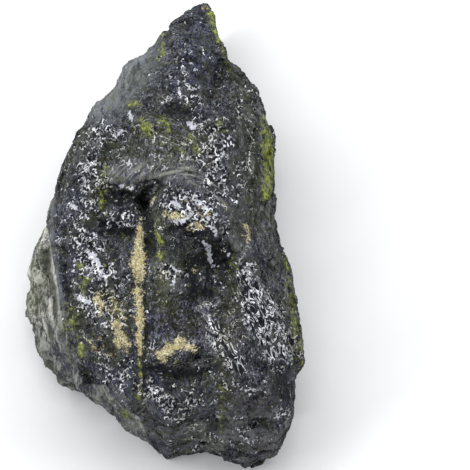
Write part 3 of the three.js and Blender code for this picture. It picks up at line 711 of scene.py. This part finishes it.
@dataclass(frozen=True)
class Layers:
    """Fine layers that curve round the boss, in millimetres."""

    across: float = 8.0
    along: float = 6.0
    pitch: float = 1.9
    length: float = 14.0

    def pattern(self, place: Signal) -> Signal:
        """The layers' noise, about 0 to 1.

        Args:
            place: The place on the leaning plan, in millimetres.

        Returns:
            The noise.
        """
        x, y, z = place.axes()
        aside, above = x - self.across, y - self.along
        radius = (aside * aside + above * above) ** 0.5
        curved = place.graph.vector(x / self.length, radius / self.pitch, z / self.length)
        return curved.noise(1.0, 2.0, 0.5, 0.3)


@dataclass(frozen=True)
class Wrinkles:
    """Slanting wrinkles of the right face, in millimetres."""

    right: float = 0.45
    down: float = 0.89
    length: float = 6.0
    width: float = 2.4

    def slanting(self, place: Signal) -> Signal:
        """Turns and stretches a place, so that noise runs along the wrinkles.

        Args:
            place: The place on the leaning plan, in millimetres.

        Returns:
            The stretched place.
        """
        x, y, z = place.axes()
        down, aside = x * self.right - y * self.down, x * self.down + y * self.right
        return place.graph.vector(down / self.length, aside / self.width, z / self.length)


LAYERS = Layers()
WRINKLES = Wrinkles()


# ---------------------------------------------------------------- the stone's finish


@dataclass(frozen=True)
class Spot:
    """What the material reads at one point of the stone.

    Attributes:
        place: The place on the leaning plan, in millimetres.
        relief: How far the surface stands proud there, in millimetres.
        shady: How deep the shade is.
        marks: Every mark's cover.
    """

    place: Signal
    relief: Signal
    shady: Signal
    marks: dict[Mark, Signal]


@dataclass(frozen=True)
class JadeSkin:
    """The stone's surface: wet blue-grey jade, green stain, packed sand and dry pale rind."""

    pitch: int = 0x0B0D15
    ink: int = 0x1D202F
    slate: int = 0x393D49
    navy: int = 0x30344E
    brushed: int = 0x74777A
    haze: int = 0x84888A
    silt: int = 0x8E8D84
    olive: int = 0x464722
    umber: int = 0x3A3131
    plum: int = 0x37333C
    moss: int = 0x5F6829
    lime: int = 0xA3AB4C
    sand: int = 0xA89E76
    sand_light: int = 0xDAD3B2
    sand_dark: int = 0x6A6146
    ochre: int = 0xAE9E62
    rind: int = 0xADADA5
    rind_light: int = 0xDFDED3
    rind_dark: int = 0x363834
    rind_deep: int = 0x5C5E5A
    # Colours of the painted highlights: the thin curls and the broad flakes.
    glint: int = 0xF0F2F5
    glaze: int = 0xBDBFC6
    wet_roughness: float = 0.22
    dry_roughness: float = 0.8
    coat_roughness: float = 0.07
    coat_index: float = 1.6
    body_index: float = 1.45
    body_gloss: float = 0.12
    sand_grain: float = 0.6
    small_scar: float = 1.8
    large_scar: float = 3.4
    line_offset: float = 0.055
    fine_bump: float = 0.5
    fine_reach: float = 0.0009

    def material(self) -> bpy.types.Material:
        """Builds the material.

        Returns:
            The finished material.
        """
        made = bpy.data.materials.new("jade_skin")
        made.use_nodes = True
        graph = Graph(made.node_tree)
        place, marks = graph.place().leaning(), graph.marks()
        turned = graph.attribute("turned")
        ragged = place.noise(3.2, 5.0, 0.7) - 0.5
        crumbs = place.noise(1.2, 3.0, 0.7) - 0.5
        flaky = place.noise(1.9, 3.0, 0.6) - 0.5
        sand = (marks[Mark.SAND] + ragged * 1.9 + crumbs * 1.3).ease(0.4, 0.6)
        moss = (marks[Mark.MOSS] + ragged * 2.8).ease(0.35, 0.85)
        dry = (marks[Mark.DRY] + ragged * 0.5).ease(0.4, 0.65)
        calm = marks[Mark.CALM].ease(0.2, 0.8)
        shady = (marks[Mark.SHADY] + ragged * 0.8).ease(0.2, 0.9)
        # Where the broad painted highlights lie.
        highlight_flakes = (marks[Mark.GLAZED] + flaky * 2.6).ease(0.45, 0.6)

        spot = Spot(place, graph.attribute("relief"), shady, marks)
        body = self._glinting(spot, self._stained(spot, self._wet_body(spot), moss), highlight_flakes)
        rind = self._dry_rind(spot, turned.ease(0.8, 1.0))
        colour = body.coated((dry, rind), (sand, self._sand(place)))

        wet = (1 - dry) * (1 - sand) * (1 - 0.75 * shady) * turned.ease(0.75, 0.3)
        patchy = place.noise(7.0, 3.0, 0.6).ease(0.35, 0.65)
        wet_gloss = self.wet_roughness + 0.25 * patchy + 0.2 * marks[Mark.PALE]
        inputs = {
            "Base Color": colour,
            "Roughness": wet.between(self.dry_roughness, wet_gloss),
            "Coat Weight": wet * (1 - 0.7 * calm) * (1 - 0.7 * marks[Mark.PALE]) * patchy.ease(1.3, -0.6),
            "Coat Roughness": self.coat_roughness,
            "IOR": self.body_index,
            "Specular IOR Level": self.body_gloss,
            "Coat IOR": self.coat_index,
            "Normal": self._bump(spot, dry, calm),
        }
        shader = graph.signal("ShaderNodeBsdfPrincipled", {}, inputs)
        graph.node("ShaderNodeOutputMaterial", {}, {"Surface": shader})
        return made

    def _wet_body(self, spot: Spot) -> Signal:
        """The wet jade: ink and slate clouds, brushed lighter streaks, and shade painted into its hollows.

        Args:
            spot: What the material reads.

        Returns:
            The colour.
        """
        place, marks = spot.place, spot.marks
        clouds = place.noise(13.0, 6.0, 0.68).ease(0.38, 0.64)
        streaked = (place * (1.0, 0.22, 0.4)).noise(1.5, 4.0, 0.65, 0.6)
        bristles = (place * (1.0, 0.62, 0.8)).noise(1.1, 1.5, 0.7, 1.0)
        quiet = 1 - 0.8 * marks[Mark.SPARKLING]
        base = clouds.blend(self.ink, self.slate).coated(
            (streaked.ease(0.5, 0.7) * 0.4, self.brushed),
            (streaked.ease(0.48, 0.3) * 0.7, self.pitch),
            (marks[Mark.NAVY] * 0.6, self.navy),
            (place.noise(9.0, 4.0, 0.65).ease(0.54, 0.66) * 0.7, self.umber),
            (bristles.ease(0.53, 0.6) * 0.8 * quiet, self.brushed),
            (bristles.ease(0.48, 0.4) * quiet, self.pitch),
            (place.noise(5.0, 2.0, 0.5, 0.8).ease(0.5, 0.4) * 0.7, self.pitch),
        )
        tints = (marks[Mark.NAVY] * 0.35, self.navy), (marks[Mark.BROWN] * 0.8, self.plum)
        film = marks[Mark.PALE] * (place * (1.0, 0.35, 0.5)).noise(3.0, 5.0, 0.65).ease(0.28, 0.6)
        layered, layers = marks[Mark.LAYERED].ease(0.2, 0.8), LAYERS.pattern(place)
        return base.coated(*tints, mode="COLOR").coated(
            (film * 0.95, self.haze),
            (layers.ease(0.5, 0.6) * layered * 0.8, self.silt),
            (layers.ease(0.48, 0.38) * layered * 0.6, self.pitch),
            # Painted shade where the relief sinks and in the shady clefts.
            ((spot.relief.ease(-0.2, -1.5) * 0.8).most(spot.shady * 0.9), self.pitch),
        )

    def _stained(self, spot: Spot, base: Signal, moss: Signal) -> Signal:
        """Adds the olive clouds and the yellow-green stain.

        Args:
            spot: What the material reads.
            base: The colour under it.
            moss: Where the stain lies.

        Returns:
            The stained colour.
        """
        place = spot.place
        grain = (place * (1.0, 0.5, 0.7)).noise(1.6, 4.0, 0.7)
        cloudy = place.noise(15.0, 5.0, 0.65).ease(0.44, 0.62) * 0.45
        cover = (spot.marks[Mark.OLIVE] * 0.9).most(cloudy) * grain.ease(0.34, 0.6) * (1 - 0.75 * spot.shady)
        green = grain.ease(0.42, 0.62).blend(self.moss, self.lime)
        green = green.coated((grain.ease(0.42, 0.3) * 0.8, self.pitch))
        scattered = place.noise(8.0, 5.0, 0.7).ease(0.6, 0.7) * place.noise(1.1, 2.0).ease(0.48, 0.6)
        worn = place.noise(1.8, 3.0, 0.7).ease(0.36, 0.56, 0.4, 0.95)
        return base.coated(
            (place.noise(2.4, 3.0, 0.7).ease(0.52, 0.64) * 0.35, self.olive),
            (cover * 0.8, self.olive),
            (moss.most(scattered * 0.3) * worn, green),
        )

    def _glinting(self, spot: Spot, base: Signal, highlight_flakes: Signal) -> Signal:
        """Adds painted highlights: thin curls round tiny scars, shade painted in them, and a few broad
        flakes.

        Args:
            spot: What the material reads.
            base: The colour under them.
            highlight_flakes: Where a broad flake lies.

        Returns:
            The colour.
        """
        place, marks = spot.place, spot.marks
        wrinkled = marks[Mark.WRINKLED].ease(0.2, 0.8)
        sparkling = marks[Mark.SPARKLING] * (1 - spot.shady)
        clustered = (place.noise(6.0, 3.0, 0.6) + sparkling * 0.32).ease(0.6, 0.68)
        adrift = place.bent(2.4, 2.6) * (1.0, 0.75, 1.0)
        # Each scar is a painted highlight round painted shade.
        small, scars = self._crescents(adrift, self.small_scar)
        large, hollows = self._crescents(adrift, self.large_scar)
        bold = sparkling.ease(0.45, 0.85)
        painted_rims = (bold * 0.7).between(small, large).most(large * bold)
        painted_shade = scars.most(hollows * bold)
        # Painted highlight lines along the wrinkles, with painted shade beside them.
        slanted = WRINKLES.slanting(place).noise(1.0, 1.0, 0.5, 0.6)
        edge = ((slanted - 0.5).size() - self.line_offset).size()
        lit = place.noise(2.2, 2.0, 0.6).ease(0.38, 0.64, 0.4, 1.0)
        highlight_lines = edge.ease(0.034, 0.018) * place.noise(2.6, 0.5).ease(0.4, 0.46) * lit
        painted_rims = wrinkled.between(painted_rims, highlight_lines) * clustered
        painted_shade = wrinkled.between(painted_shade, edge.ease(0.02, 0.04)) * clustered
        bright = sparkling.ease(0.2, 1.1, 0.85, 1.25)
        # The painted highlights turn cream in the olive zones.
        highlight_colour = (marks[Mark.OLIVE] * 0.75).blend(self.glint, self.sand_light)
        return base.coated((painted_shade, self.pitch), (painted_rims * bright, highlight_colour), (highlight_flakes * 0.95, self.glaze))

    @staticmethod
    def _crescents(at: Signal, size: float) -> tuple[Signal, Signal]:
        """Painted highlights on the edges of small scars, each open on a side of its own.

        Args:
            at: The place, in millimetres.
            size: The usual width of a scar, in millimetres.

        Returns:
            Where the painted highlights lie, and where the shade painted inside the scars lies.
        """
        scaled = at * (1 / size)
        cells = scaled.cells("2D")
        chance, turn, tilt = cells.colour.axes()
        x, y, _ = (scaled - cells.middle).axes()
        open_side = (x * (turn - 0.5) + y * (tilt - 0.35)).ease(-0.03, 0.02)
        chosen = chance.ease(0.2, 0.3)
        beyond = cells.distance - (0.3 + 0.14 * turn)
        # A painted highlight on the scar's edge.
        painted_rim = beyond.size().ease(0.38 / size, 0.18 / size)
        # Painted shade inside the scar.
        dark = beyond.ease(0.9 / size, 0.5 / size)
        lit = chance.ease(0.3, 0.95, 0.42, 1.0)
        return painted_rim * open_side * chosen * lit, dark * chosen

    def _dry_rind(self, spot: Spot, under: Signal) -> Signal:
        """The dry pale rind of the sides: ribbed, with painted shade in furrows and painted light on ridges.

        Args:
            spot: What the material reads.
            under: Where it turns right away from the broad face.

        Returns:
            The colour.
        """
        place, marks = spot.place, spot.marks
        ribs = (place * (1.0, 0.3, 0.3)).noise(2.0, 6.0, 0.75)
        folds = (place * (1.0, 0.25, 0.6)).noise(6.0, 3.0, 0.55)
        grit = (place * (1.0, 0.45, 0.45)).noise(1.0, 3.0, 0.8)
        chalk = place.noise(4.0, 6.0, 0.7).ease(0.48, 0.68)
        blotches = place.noise(18.0, 5.0, 0.6).ease(0.35, 0.65, 0.35, 0.8)
        tinge = place.noise(14.0, 4.0, 0.6).ease(0.5, 0.7) * 0.2
        return ribs.ease(0.4, 0.54).blend(self.rind_dark, self.rind).coated(
            (folds.ease(0.52, 0.42) * 0.75, self.rind_dark),
            (grit.ease(0.5, 0.42) * 0.85, self.rind_dark),
            (grit.ease(0.53, 0.62) * 0.5, self.rind_light),
            (chalk.most(folds.ease(0.56, 0.66)) * 0.6, self.rind_light),
            # Painted shade where the relief sinks and in clefts; painted light where it stands proud.
            (spot.relief.ease(-0.2, -1.4) * 0.85, self.rind_dark),
            (spot.relief.ease(0.2, 0.8) * 0.5, self.rind_light),
            (marks[Mark.SHADY] * 0.75, self.rind_dark),
            # Darker in blotches where the rind turns right away from the broad face.
            (under * blotches, self.rind_deep),
            (marks[Mark.PALE] * 0.6, self.rind_light),
            (marks[Mark.NAVY] * ribs.ease(0.56, 0.44, 0.3, 0.95), self.slate),
            (tinge.most(marks[Mark.MOSS] * 0.7).most(marks[Mark.OLIVE] * 0.4), self.moss),
            (marks[Mark.MOSS].ease(0.7, 1.0) * 0.8, self.lime),
        )

    def _sand(self, place: Signal) -> Signal:
        """Packed sand: grains of differing shades, cream in places and ochre in others.

        Args:
            place: The place on the leaning plan, in millimetres.

        Returns:
            The colour.
        """
        shade = (place * (1 / self.sand_grain)).cells().colour.axes()[0]
        stops = ((0.0, self.sand_dark), (0.4, self.sand), (1.0, self.sand_light))
        return place.graph.signal("ShaderNodeValToRGB", {"stops": stops}, {0: shade}).coated(
            (place.noise(5.0, 3.0, 0.6).ease(0.48, 0.62) * 0.4, self.ochre),
            (place.noise(2.2, 3.0, 0.7).ease(0.46, 0.36) * 0.6, self.sand_dark),
        )

    def _bump(self, spot: Spot, dry: Signal, calm: Signal) -> Signal:
        """The finest relief, too small for the mesh.

        Args:
            spot: What the material reads.
            dry: Where the stone is dry.
            calm: Where the break is smooth.

        Returns:
            The bumped normal.
        """
        place = spot.place
        worms = (place * (1.0, 0.7, 1.0)).noise(2.4, 0.5, 0.5, 1.4)
        slanted = WRINKLES.slanting(place).noise(1.0, 0.5, 0.5, 0.7)
        worms = spot.marks[Mark.WRINKLED].ease(0.2, 0.8).between(worms, slanted)
        grains = place.noise(0.7, 2.0, 0.6)
        height = worms * (1 - 0.75 * calm) * (1 - 0.6 * dry) + grains * (0.08 + 0.5 * dry)
        inputs = {"Strength": self.fine_bump, "Distance": self.fine_reach, "Height": height}
        return place.graph.signal("ShaderNodeBump", {}, inputs)


# ---------------------------------------------------------------- the stone's relief


@dataclass(frozen=True)
class Relief:
    """The fine broken relief of the skin, as a Geometry Nodes tree. Sizes are in millimetres."""

    chip_size: float = 14.0
    chip_slope: float = 0.12
    flake_size: float = 4.2
    flake_slope: float = 0.17
    ripple_size: float = 2.2
    ripple_depth: float = 0.36
    rib_depth: float = 2.4
    wrinkle_depth: float = 1.2
    layer_depth: float = 0.6
    sink: float = 0.15
    most: float = 0.9
    seed: float = 7.0

    def tree(self, material: bpy.types.Material) -> bpy.types.NodeTree:
        """Builds the tree that raises the relief.

        Args:
            material: The material set at its end.

        Returns:
            The tree, whose inputs have the names of this class's sizes.
        """
        tree = bpy.data.node_groups.new("skin_relief", "GeometryNodeTree")
        tree.interface.new_socket("Geometry", in_out="INPUT", socket_type="NodeSocketGeometry")
        for name in asdict(self):
            tree.interface.new_socket(self.label(name), in_out="INPUT", socket_type="NodeSocketFloat")
        tree.interface.new_socket("Geometry", in_out="OUTPUT", socket_type="NodeSocketGeometry")
        graph = Graph(tree)
        given = graph.node("NodeGroupInput").outputs
        sizes = {name: Signal(graph, given[self.label(name)]) for name in asdict(self)}
        raised = self._height(graph, sizes)
        offset = graph.signal("GeometryNodeInputNormal") * (raised * MM)
        inputs = {"Geometry": Signal(graph, given["Geometry"]), "Offset": offset}
        shape = graph.signal("GeometryNodeSetPosition", {}, inputs)
        settings = {"data_type": "FLOAT", "domain": "POINT"}
        inputs = {"Geometry": shape, "Name": "relief", "Value": raised}
        shape = graph.signal("GeometryNodeStoreNamedAttribute", settings, inputs)
        shape = graph.signal("GeometryNodeRealizeInstances", {}, {"Geometry": shape})
        shape = graph.signal("GeometryNodeSetMaterial", {}, {"Geometry": shape, "Material": material})
        graph.node("NodeGroupOutput", {}, {"Geometry": shape})
        return tree

    @staticmethod
    def label(name: str) -> str:
        """The input's name for one of the sizes."""
        return name.replace("_", " ").capitalize()

    def _height(self, graph: Graph, sizes: dict[str, Signal]) -> Signal:
        """How far each point is raised, in millimetres.

        Args:
            graph: The tree's graph.
            sizes: The tree's inputs.

        Returns:
            The height, mostly below 0, so that the stone doesn't grow.
        """
        marks = graph.marks()
        place = graph.signal("GeometryNodeInputPosition") * (1 / MM)
        above = place.axes()[2]
        leaning = place.leaning()
        seeded = leaning + graph.vector(sizes["seed"] * 31.0, sizes["seed"] * 17.0, 0.0)
        bent = seeded.bent(9.0, 5.0)

        calm = marks[Mark.CALM].ease(0.1, 0.9)
        dry = marks[Mark.DRY].ease(0.35, 0.75)
        sand = marks[Mark.SAND].ease(0.4, 0.7)
        # Where the broad painted highlights lie; the relief is calmer there.
        highlight_flakes = marks[Mark.GLAZED].ease(0.3, 0.9)
        chips = self._facets(bent * (1.0, 0.7, 1.0), sizes["chip_size"], sizes["chip_slope"])
        flakes = self._facets(bent * (1.0, 0.8, 1.0), sizes["flake_size"], sizes["flake_slope"])
        ripples = (seeded / sizes["ripple_size"]).noise(1.0, 1.0, 0.5, 1.6) - 0.5
        fine = flakes + sizes["ripple_depth"] * 2.0 * ripples
        lively = (1 - 0.8 * calm) * (1 - 0.75 * sand) * (1 - 0.6 * highlight_flakes) * (1 - 0.4 * dry)
        height = chips * (1 - 0.5 * calm) + fine * lively

        ribs = (bent * (1.0, 0.3, 0.3)).noise(6.0, 4.0, 0.6) - 0.5
        height = height + dry * sizes["rib_depth"] * 2.4 * ribs
        wrinkles = WRINKLES.slanting(leaning).noise(1.0, 1.0, 0.5, 0.5) - 0.5
        wrinkled = marks[Mark.WRINKLED].ease(0.2, 0.8)
        height = height * (1 - 0.6 * wrinkled) + wrinkled * sizes["wrinkle_depth"] * 2.0 * wrinkles
        layers = LAYERS.pattern(leaning) - 0.5
        layered = marks[Mark.LAYERED].ease(0.2, 0.8)
        height = height * (1 - 0.7 * layered) + layered * sizes["layer_depth"] * 2.0 * layers
        return (height - sizes["sink"]).least(sizes["most"]) * above.ease(0.3, 5.0)

    @staticmethod
    def _facets(at: Signal, size: Signal, slope: Signal) -> Signal:
        """Flat breaks: each cell is a plane that leans its own way.

        Args:
            at: The place, in millimetres.
            size: The width of a cell.
            slope: The steepest lean, as rise over run.

        Returns:
            The height above the mean surface, in millimetres.
        """
        scaled = at / size
        cells = scaled.cells()
        inputs = {0: (cells.colour - MIDDLE) * 2.0, 1: scaled - cells.middle}
        rise = at.graph.signal("ShaderNodeVectorMath", {"operation": "DOT_PRODUCT"}, inputs, "Value")
        return rise * size * slope


# ---------------------------------------------------------------- the stone


@dataclass
class Stone:
    """The whole stone: a finely broken copy of its solid."""

    merge_within: float = 1e-6
    voxel: float = 0.00064
    softness: float = 0.5
    smoothing: int = 3
    crease: float = math.radians(38)
    face_budget: int = 196_000
    shown_from: float = -0.05
    hidden_from: float = 0.3
    hidden_to: float = -0.1
    hidden_cover: float = 0.8
    skin: JadeSkin = field(default_factory=JadeSkin)
    relief: Relief = field(default_factory=Relief)

    def build(self) -> bpy.types.Object:
        """Builds, dresses and seats the stone.

        Returns:
            The finished piece.
        """
        piece = bpy.data.objects.new("jade_stone", self._merged_copy())
        bpy.context.scene.collection.objects.link(piece)
        self._round_off(piece)
        self._mark(piece)
        self._raise_relief(piece)
        self._thin(piece)
        self._keep_in_box(piece)
        self._mark(piece)
        piece.data.shade_smooth()
        piece.data.set_sharp_from_angle(angle=self.crease)
        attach(piece, "root")
        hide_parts(NODE)
        return piece

    def _merged_copy(self) -> bpy.types.Mesh:
        """A copy of the solid's mesh with its corners merged.

        Returns:
            The copy, with no material.
        """
        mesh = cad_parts[NODE].data.copy()
        work = bmesh.new()
        work.from_mesh(mesh)
        bmesh.ops.remove_doubles(work, verts=work.verts, dist=self.merge_within)
        work.to_mesh(mesh)
        work.free()
        mesh.materials.clear()
        return mesh

    @staticmethod
    def _settle(piece: bpy.types.Object) -> None:
        """Applies a piece's modifiers by taking its evaluated mesh.

        Args:
            piece: The piece, whose mesh is replaced.
        """
        graph = bpy.context.evaluated_depsgraph_get()
        settled = bpy.data.meshes.new_from_object(piece.evaluated_get(graph))
        piece.modifiers.clear()
        piece.data = settled

    def _round_off(self, piece: bpy.types.Object) -> None:
        """Turns the flat facets into one fine, softly rounded skin.

        Args:
            piece: The piece, whose mesh is replaced.
        """
        remesh = piece.modifiers.new("even", "REMESH")
        remesh.mode = "VOXEL"
        remesh.voxel_size = self.voxel
        smooth = piece.modifiers.new("soft", "SMOOTH")
        smooth.factor = self.softness
        smooth.iterations = self.smoothing
        self._settle(piece)

    @staticmethod
    def _read(rows: bpy.types.bpy_prop_collection, name: str) -> np.ndarray:
        """Reads three numbers from each item of a mesh.

        Args:
            rows: The mesh's vertices or normals.
            name: What is read.

        Returns:
            Rows of three numbers.
        """
        values = np.zeros(len(rows) * 3)
        rows.foreach_get(name, values)
        return values.reshape(-1, 3)

    def _mark(self, piece: bpy.types.Object) -> None:
        """Writes every mark's cover as a vertex attribute, and once how far each point turns away.

        Args:
            piece: The piece.
        """
        mesh = piece.data
        places = PLAN.places(self._read(mesh.vertices, "co"))
        turned = self._read(mesh.vertex_normals, "vector") @ PLAN.facing()
        covers = {mark.value: np.zeros(len(places)) for mark in Mark}
        for mark, strokes in STROKES.items():
            for fade, strength, *run in strokes:
                cover = Stroke(fade, strength, tuple(run)).cover(places) * (turned > self.shown_from)
                covers[mark.value] = np.maximum(covers[mark.value], cover)
        hidden = np.clip((self.hidden_from - turned) / (self.hidden_from - self.hidden_to), 0, 1)
        covers[Mark.DRY.value] = np.maximum(DRY_SIDE.cover(places), self.hidden_cover * hidden)
        if "turned" not in mesh.attributes:
            covers["turned"] = np.clip(1 - turned, 0, 1)
        for name, values in covers.items():
            attribute = mesh.attributes.get(name) or mesh.attributes.new(name, "FLOAT", "POINT")
            attribute.data.foreach_set("value", values.astype(np.float32))

    def _raise_relief(self, piece: bpy.types.Object) -> None:
        """Raises the fine relief with its Geometry Nodes tree.

        Args:
            piece: The piece.
        """
        modifier = piece.modifiers.new("relief", "NODES")
        tree = self.relief.tree(self.skin.material())
        modifier.node_group = tree
        inputs = [item for item in tree.interface.items_tree if item.in_out == "INPUT"]
        identifiers = {item.name: item.identifier for item in inputs}
        for name, size in asdict(self.relief).items():
            modifier[identifiers[self.relief.label(name)]] = size
        self._settle(piece)

    def _keep_in_box(self, piece: bpy.types.Object) -> None:
        """Holds every point inside the solid's own box.

        Args:
            piece: The piece.
        """
        low, high = (np.array(corner) for corner in CAD_BOX)
        held = np.clip(self._read(piece.data.vertices, "co"), low, high)
        piece.data.vertices.foreach_set("co", held.ravel())
        piece.data.update()

    def _thin(self, piece: bpy.types.Object) -> None:
        """Thins the mesh to its budget, most where it is flattest.

        Args:
            piece: The piece.
        """
        triangles = sum(len(polygon.vertices) - 2 for polygon in piece.data.polygons)
        thin = piece.modifiers.new("thin", "DECIMATE")
        thin.ratio = min(1.0, self.face_budget / triangles)
        thin.use_collapse_triangulate = True
        self._settle(piece)
        LOG.info("thinned from %d to %d triangles", triangles, len(piece.data.polygons))


# ---------------------------------------------------------------- the studio


@dataclass(frozen=True)
class Softbox:
    """A flat light placed round the line of sight: swung clockwise from the top, tilted off it."""

    name: str
    swing: float
    tilt: float
    width: float
    height: float
    radiance: float
    colour: tuple[float, float, float] = (0.98, 0.985, 1.0)
    distance: float = 1.3

    def build(self, sight: Vector, middle: Vector) -> None:
        """Hangs the light.

        Args:
            sight: The direction from the stone to the camera.
            middle: What the light looks at.
        """
        data = bpy.data.lights.new(self.name, "AREA")
        data.shape = "RECTANGLE"
        data.size = self.width
        data.size_y = self.height
        data.energy = self.radiance * math.pi * self.width * self.height
        data.color = self.colour
        light = bpy.data.objects.new(self.name, data)
        right = Vector((1.0, 0.0, 0.0))
        top = sight.cross(right)
        turn, tilt = math.radians(self.swing), math.radians(self.tilt)
        outward = right * math.sin(turn) + top * math.cos(turn)
        away = sight * math.cos(tilt) + outward * math.sin(tilt)
        tangent = away.cross(outward).normalized()
        light.matrix_basis = Matrix((tangent, away.cross(tangent), away)).transposed().to_4x4()
        light.location = middle + away * self.distance
        light.visible_camera = False
        bpy.context.scene.collection.objects.link(light)


@dataclass
class Studio:
    """A pale floor, soft lights and the camera that looks down on the broad face."""

    floor_size: float = 6.0
    floor_colour: int = 0xF4F4F2
    floor_cloud: int = 0xF8F8F7
    floor_roughness: float = 0.9
    floor_gloss: float = 0.1
    sky: Colour = (0.36, 0.37, 0.40, 1.0)
    view_elevation: float = 76.0
    view_distance: float = 5.0
    view_width: float = 0.2395
    aim: tuple[float, float, float] = (31.7, 2.4, 30.0)
    sensor: float = 36.0
    lit_from: tuple[float, float, float] = (0.0, 0.0, 0.04)
    boxes: tuple[Softbox, ...] = (
        Softbox("left_strip", -88, 50, 0.75, 0.11, 16.0, (0.98, 0.98, 1.0)),
        Softbox("upper_left_strip", -48, 46, 0.75, 0.13, 19.0),
        Softbox("top_strip", -6, 46, 0.75, 0.13, 19.0),
        Softbox("upper_right_strip", 36, 48, 0.65, 0.11, 17.0),
        Softbox("right_strip", 82, 52, 0.6, 0.08, 12.0, (1.0, 1.0, 1.0)),
        Softbox("foot_strip", 165, 55, 0.7, 0.07, 10.0, (1.0, 1.0, 1.0)),
    )

    def build(self) -> None:
        """Lays the floor, hangs the lights and sets the camera."""
        self._floor()
        for box in self.boxes:
            box.build(self._sight(), Vector(self.lit_from))
        self._sky()
        self._camera()
        bpy.context.scene.view_settings.view_transform = "Standard"

    def _sight(self) -> Vector:
        """The direction from the stone to the camera."""
        rise = math.radians(self.view_elevation)
        return Vector((0.0, -math.cos(rise), math.sin(rise)))

    def _floor(self) -> bpy.types.Object:
        """The floor.

        Returns:
            A broad square at the level that the stone rests on.
        """
        half = self.floor_size / 2
        mesh = bpy.data.meshes.new("floor")
        corners = [(-half, -half, 0), (half, -half, 0), (half, half, 0), (-half, half, 0)]
        mesh.from_pydata(corners, [], [(0, 1, 2, 3)])
        floor = bpy.data.objects.new("floor", mesh)
        bpy.context.scene.collection.objects.link(floor)
        material = bpy.data.materials.new("pale_floor")
        material.use_nodes = True
        graph = Graph(material.node_tree)
        colour = graph.place().noise(40.0, 3.0).blend(self.floor_colour, self.floor_cloud)
        inputs = {"Base Color": colour, "Roughness": self.floor_roughness}
        inputs["Specular IOR Level"] = self.floor_gloss
        shader = graph.signal("ShaderNodeBsdfPrincipled", {}, inputs)
        graph.node("ShaderNodeOutputMaterial", {}, {"Surface": shader})
        mesh.materials.append(material)
        return floor

    def _sky(self) -> None:
        """The even light of the room."""
        world = bpy.data.worlds.new("room")
        world.use_nodes = True
        graph = Graph(world.node_tree)
        light = graph.signal("ShaderNodeBackground", {}, {"Color": self.sky, "Strength": 1.0})
        graph.node("ShaderNodeOutputWorld", {}, {"Surface": light})
        bpy.context.scene.world = world

    def _camera(self) -> None:
        """The camera, square on to the broad face."""
        data = bpy.data.cameras.new("camera")
        data.sensor_width = self.sensor
        data.lens = self.sensor * self.view_distance / self.view_width
        data.clip_end = 10 * self.view_distance
        camera = bpy.data.objects.new("camera", data)
        sight = self._sight()
        camera.location = PLAN.point(*self.aim) + sight * self.view_distance
        camera.rotation_euler = sight.to_track_quat("Z", "Y").to_euler()
        bpy.context.scene.collection.objects.link(camera)
        bpy.context.scene.camera = camera


def main() -> None:
    """Builds the studio and the stone, in that order."""
    logging.basicConfig(level=logging.INFO, format="%(name)s: %(message)s")
    Studio().build()
    LOG.info("studio: floor, lights and camera")
    stone = Stone().build()
    LOG.info("%s: %d triangles", stone.name, len(stone.data.polygons))


if __name__ == "__main__":
    main()
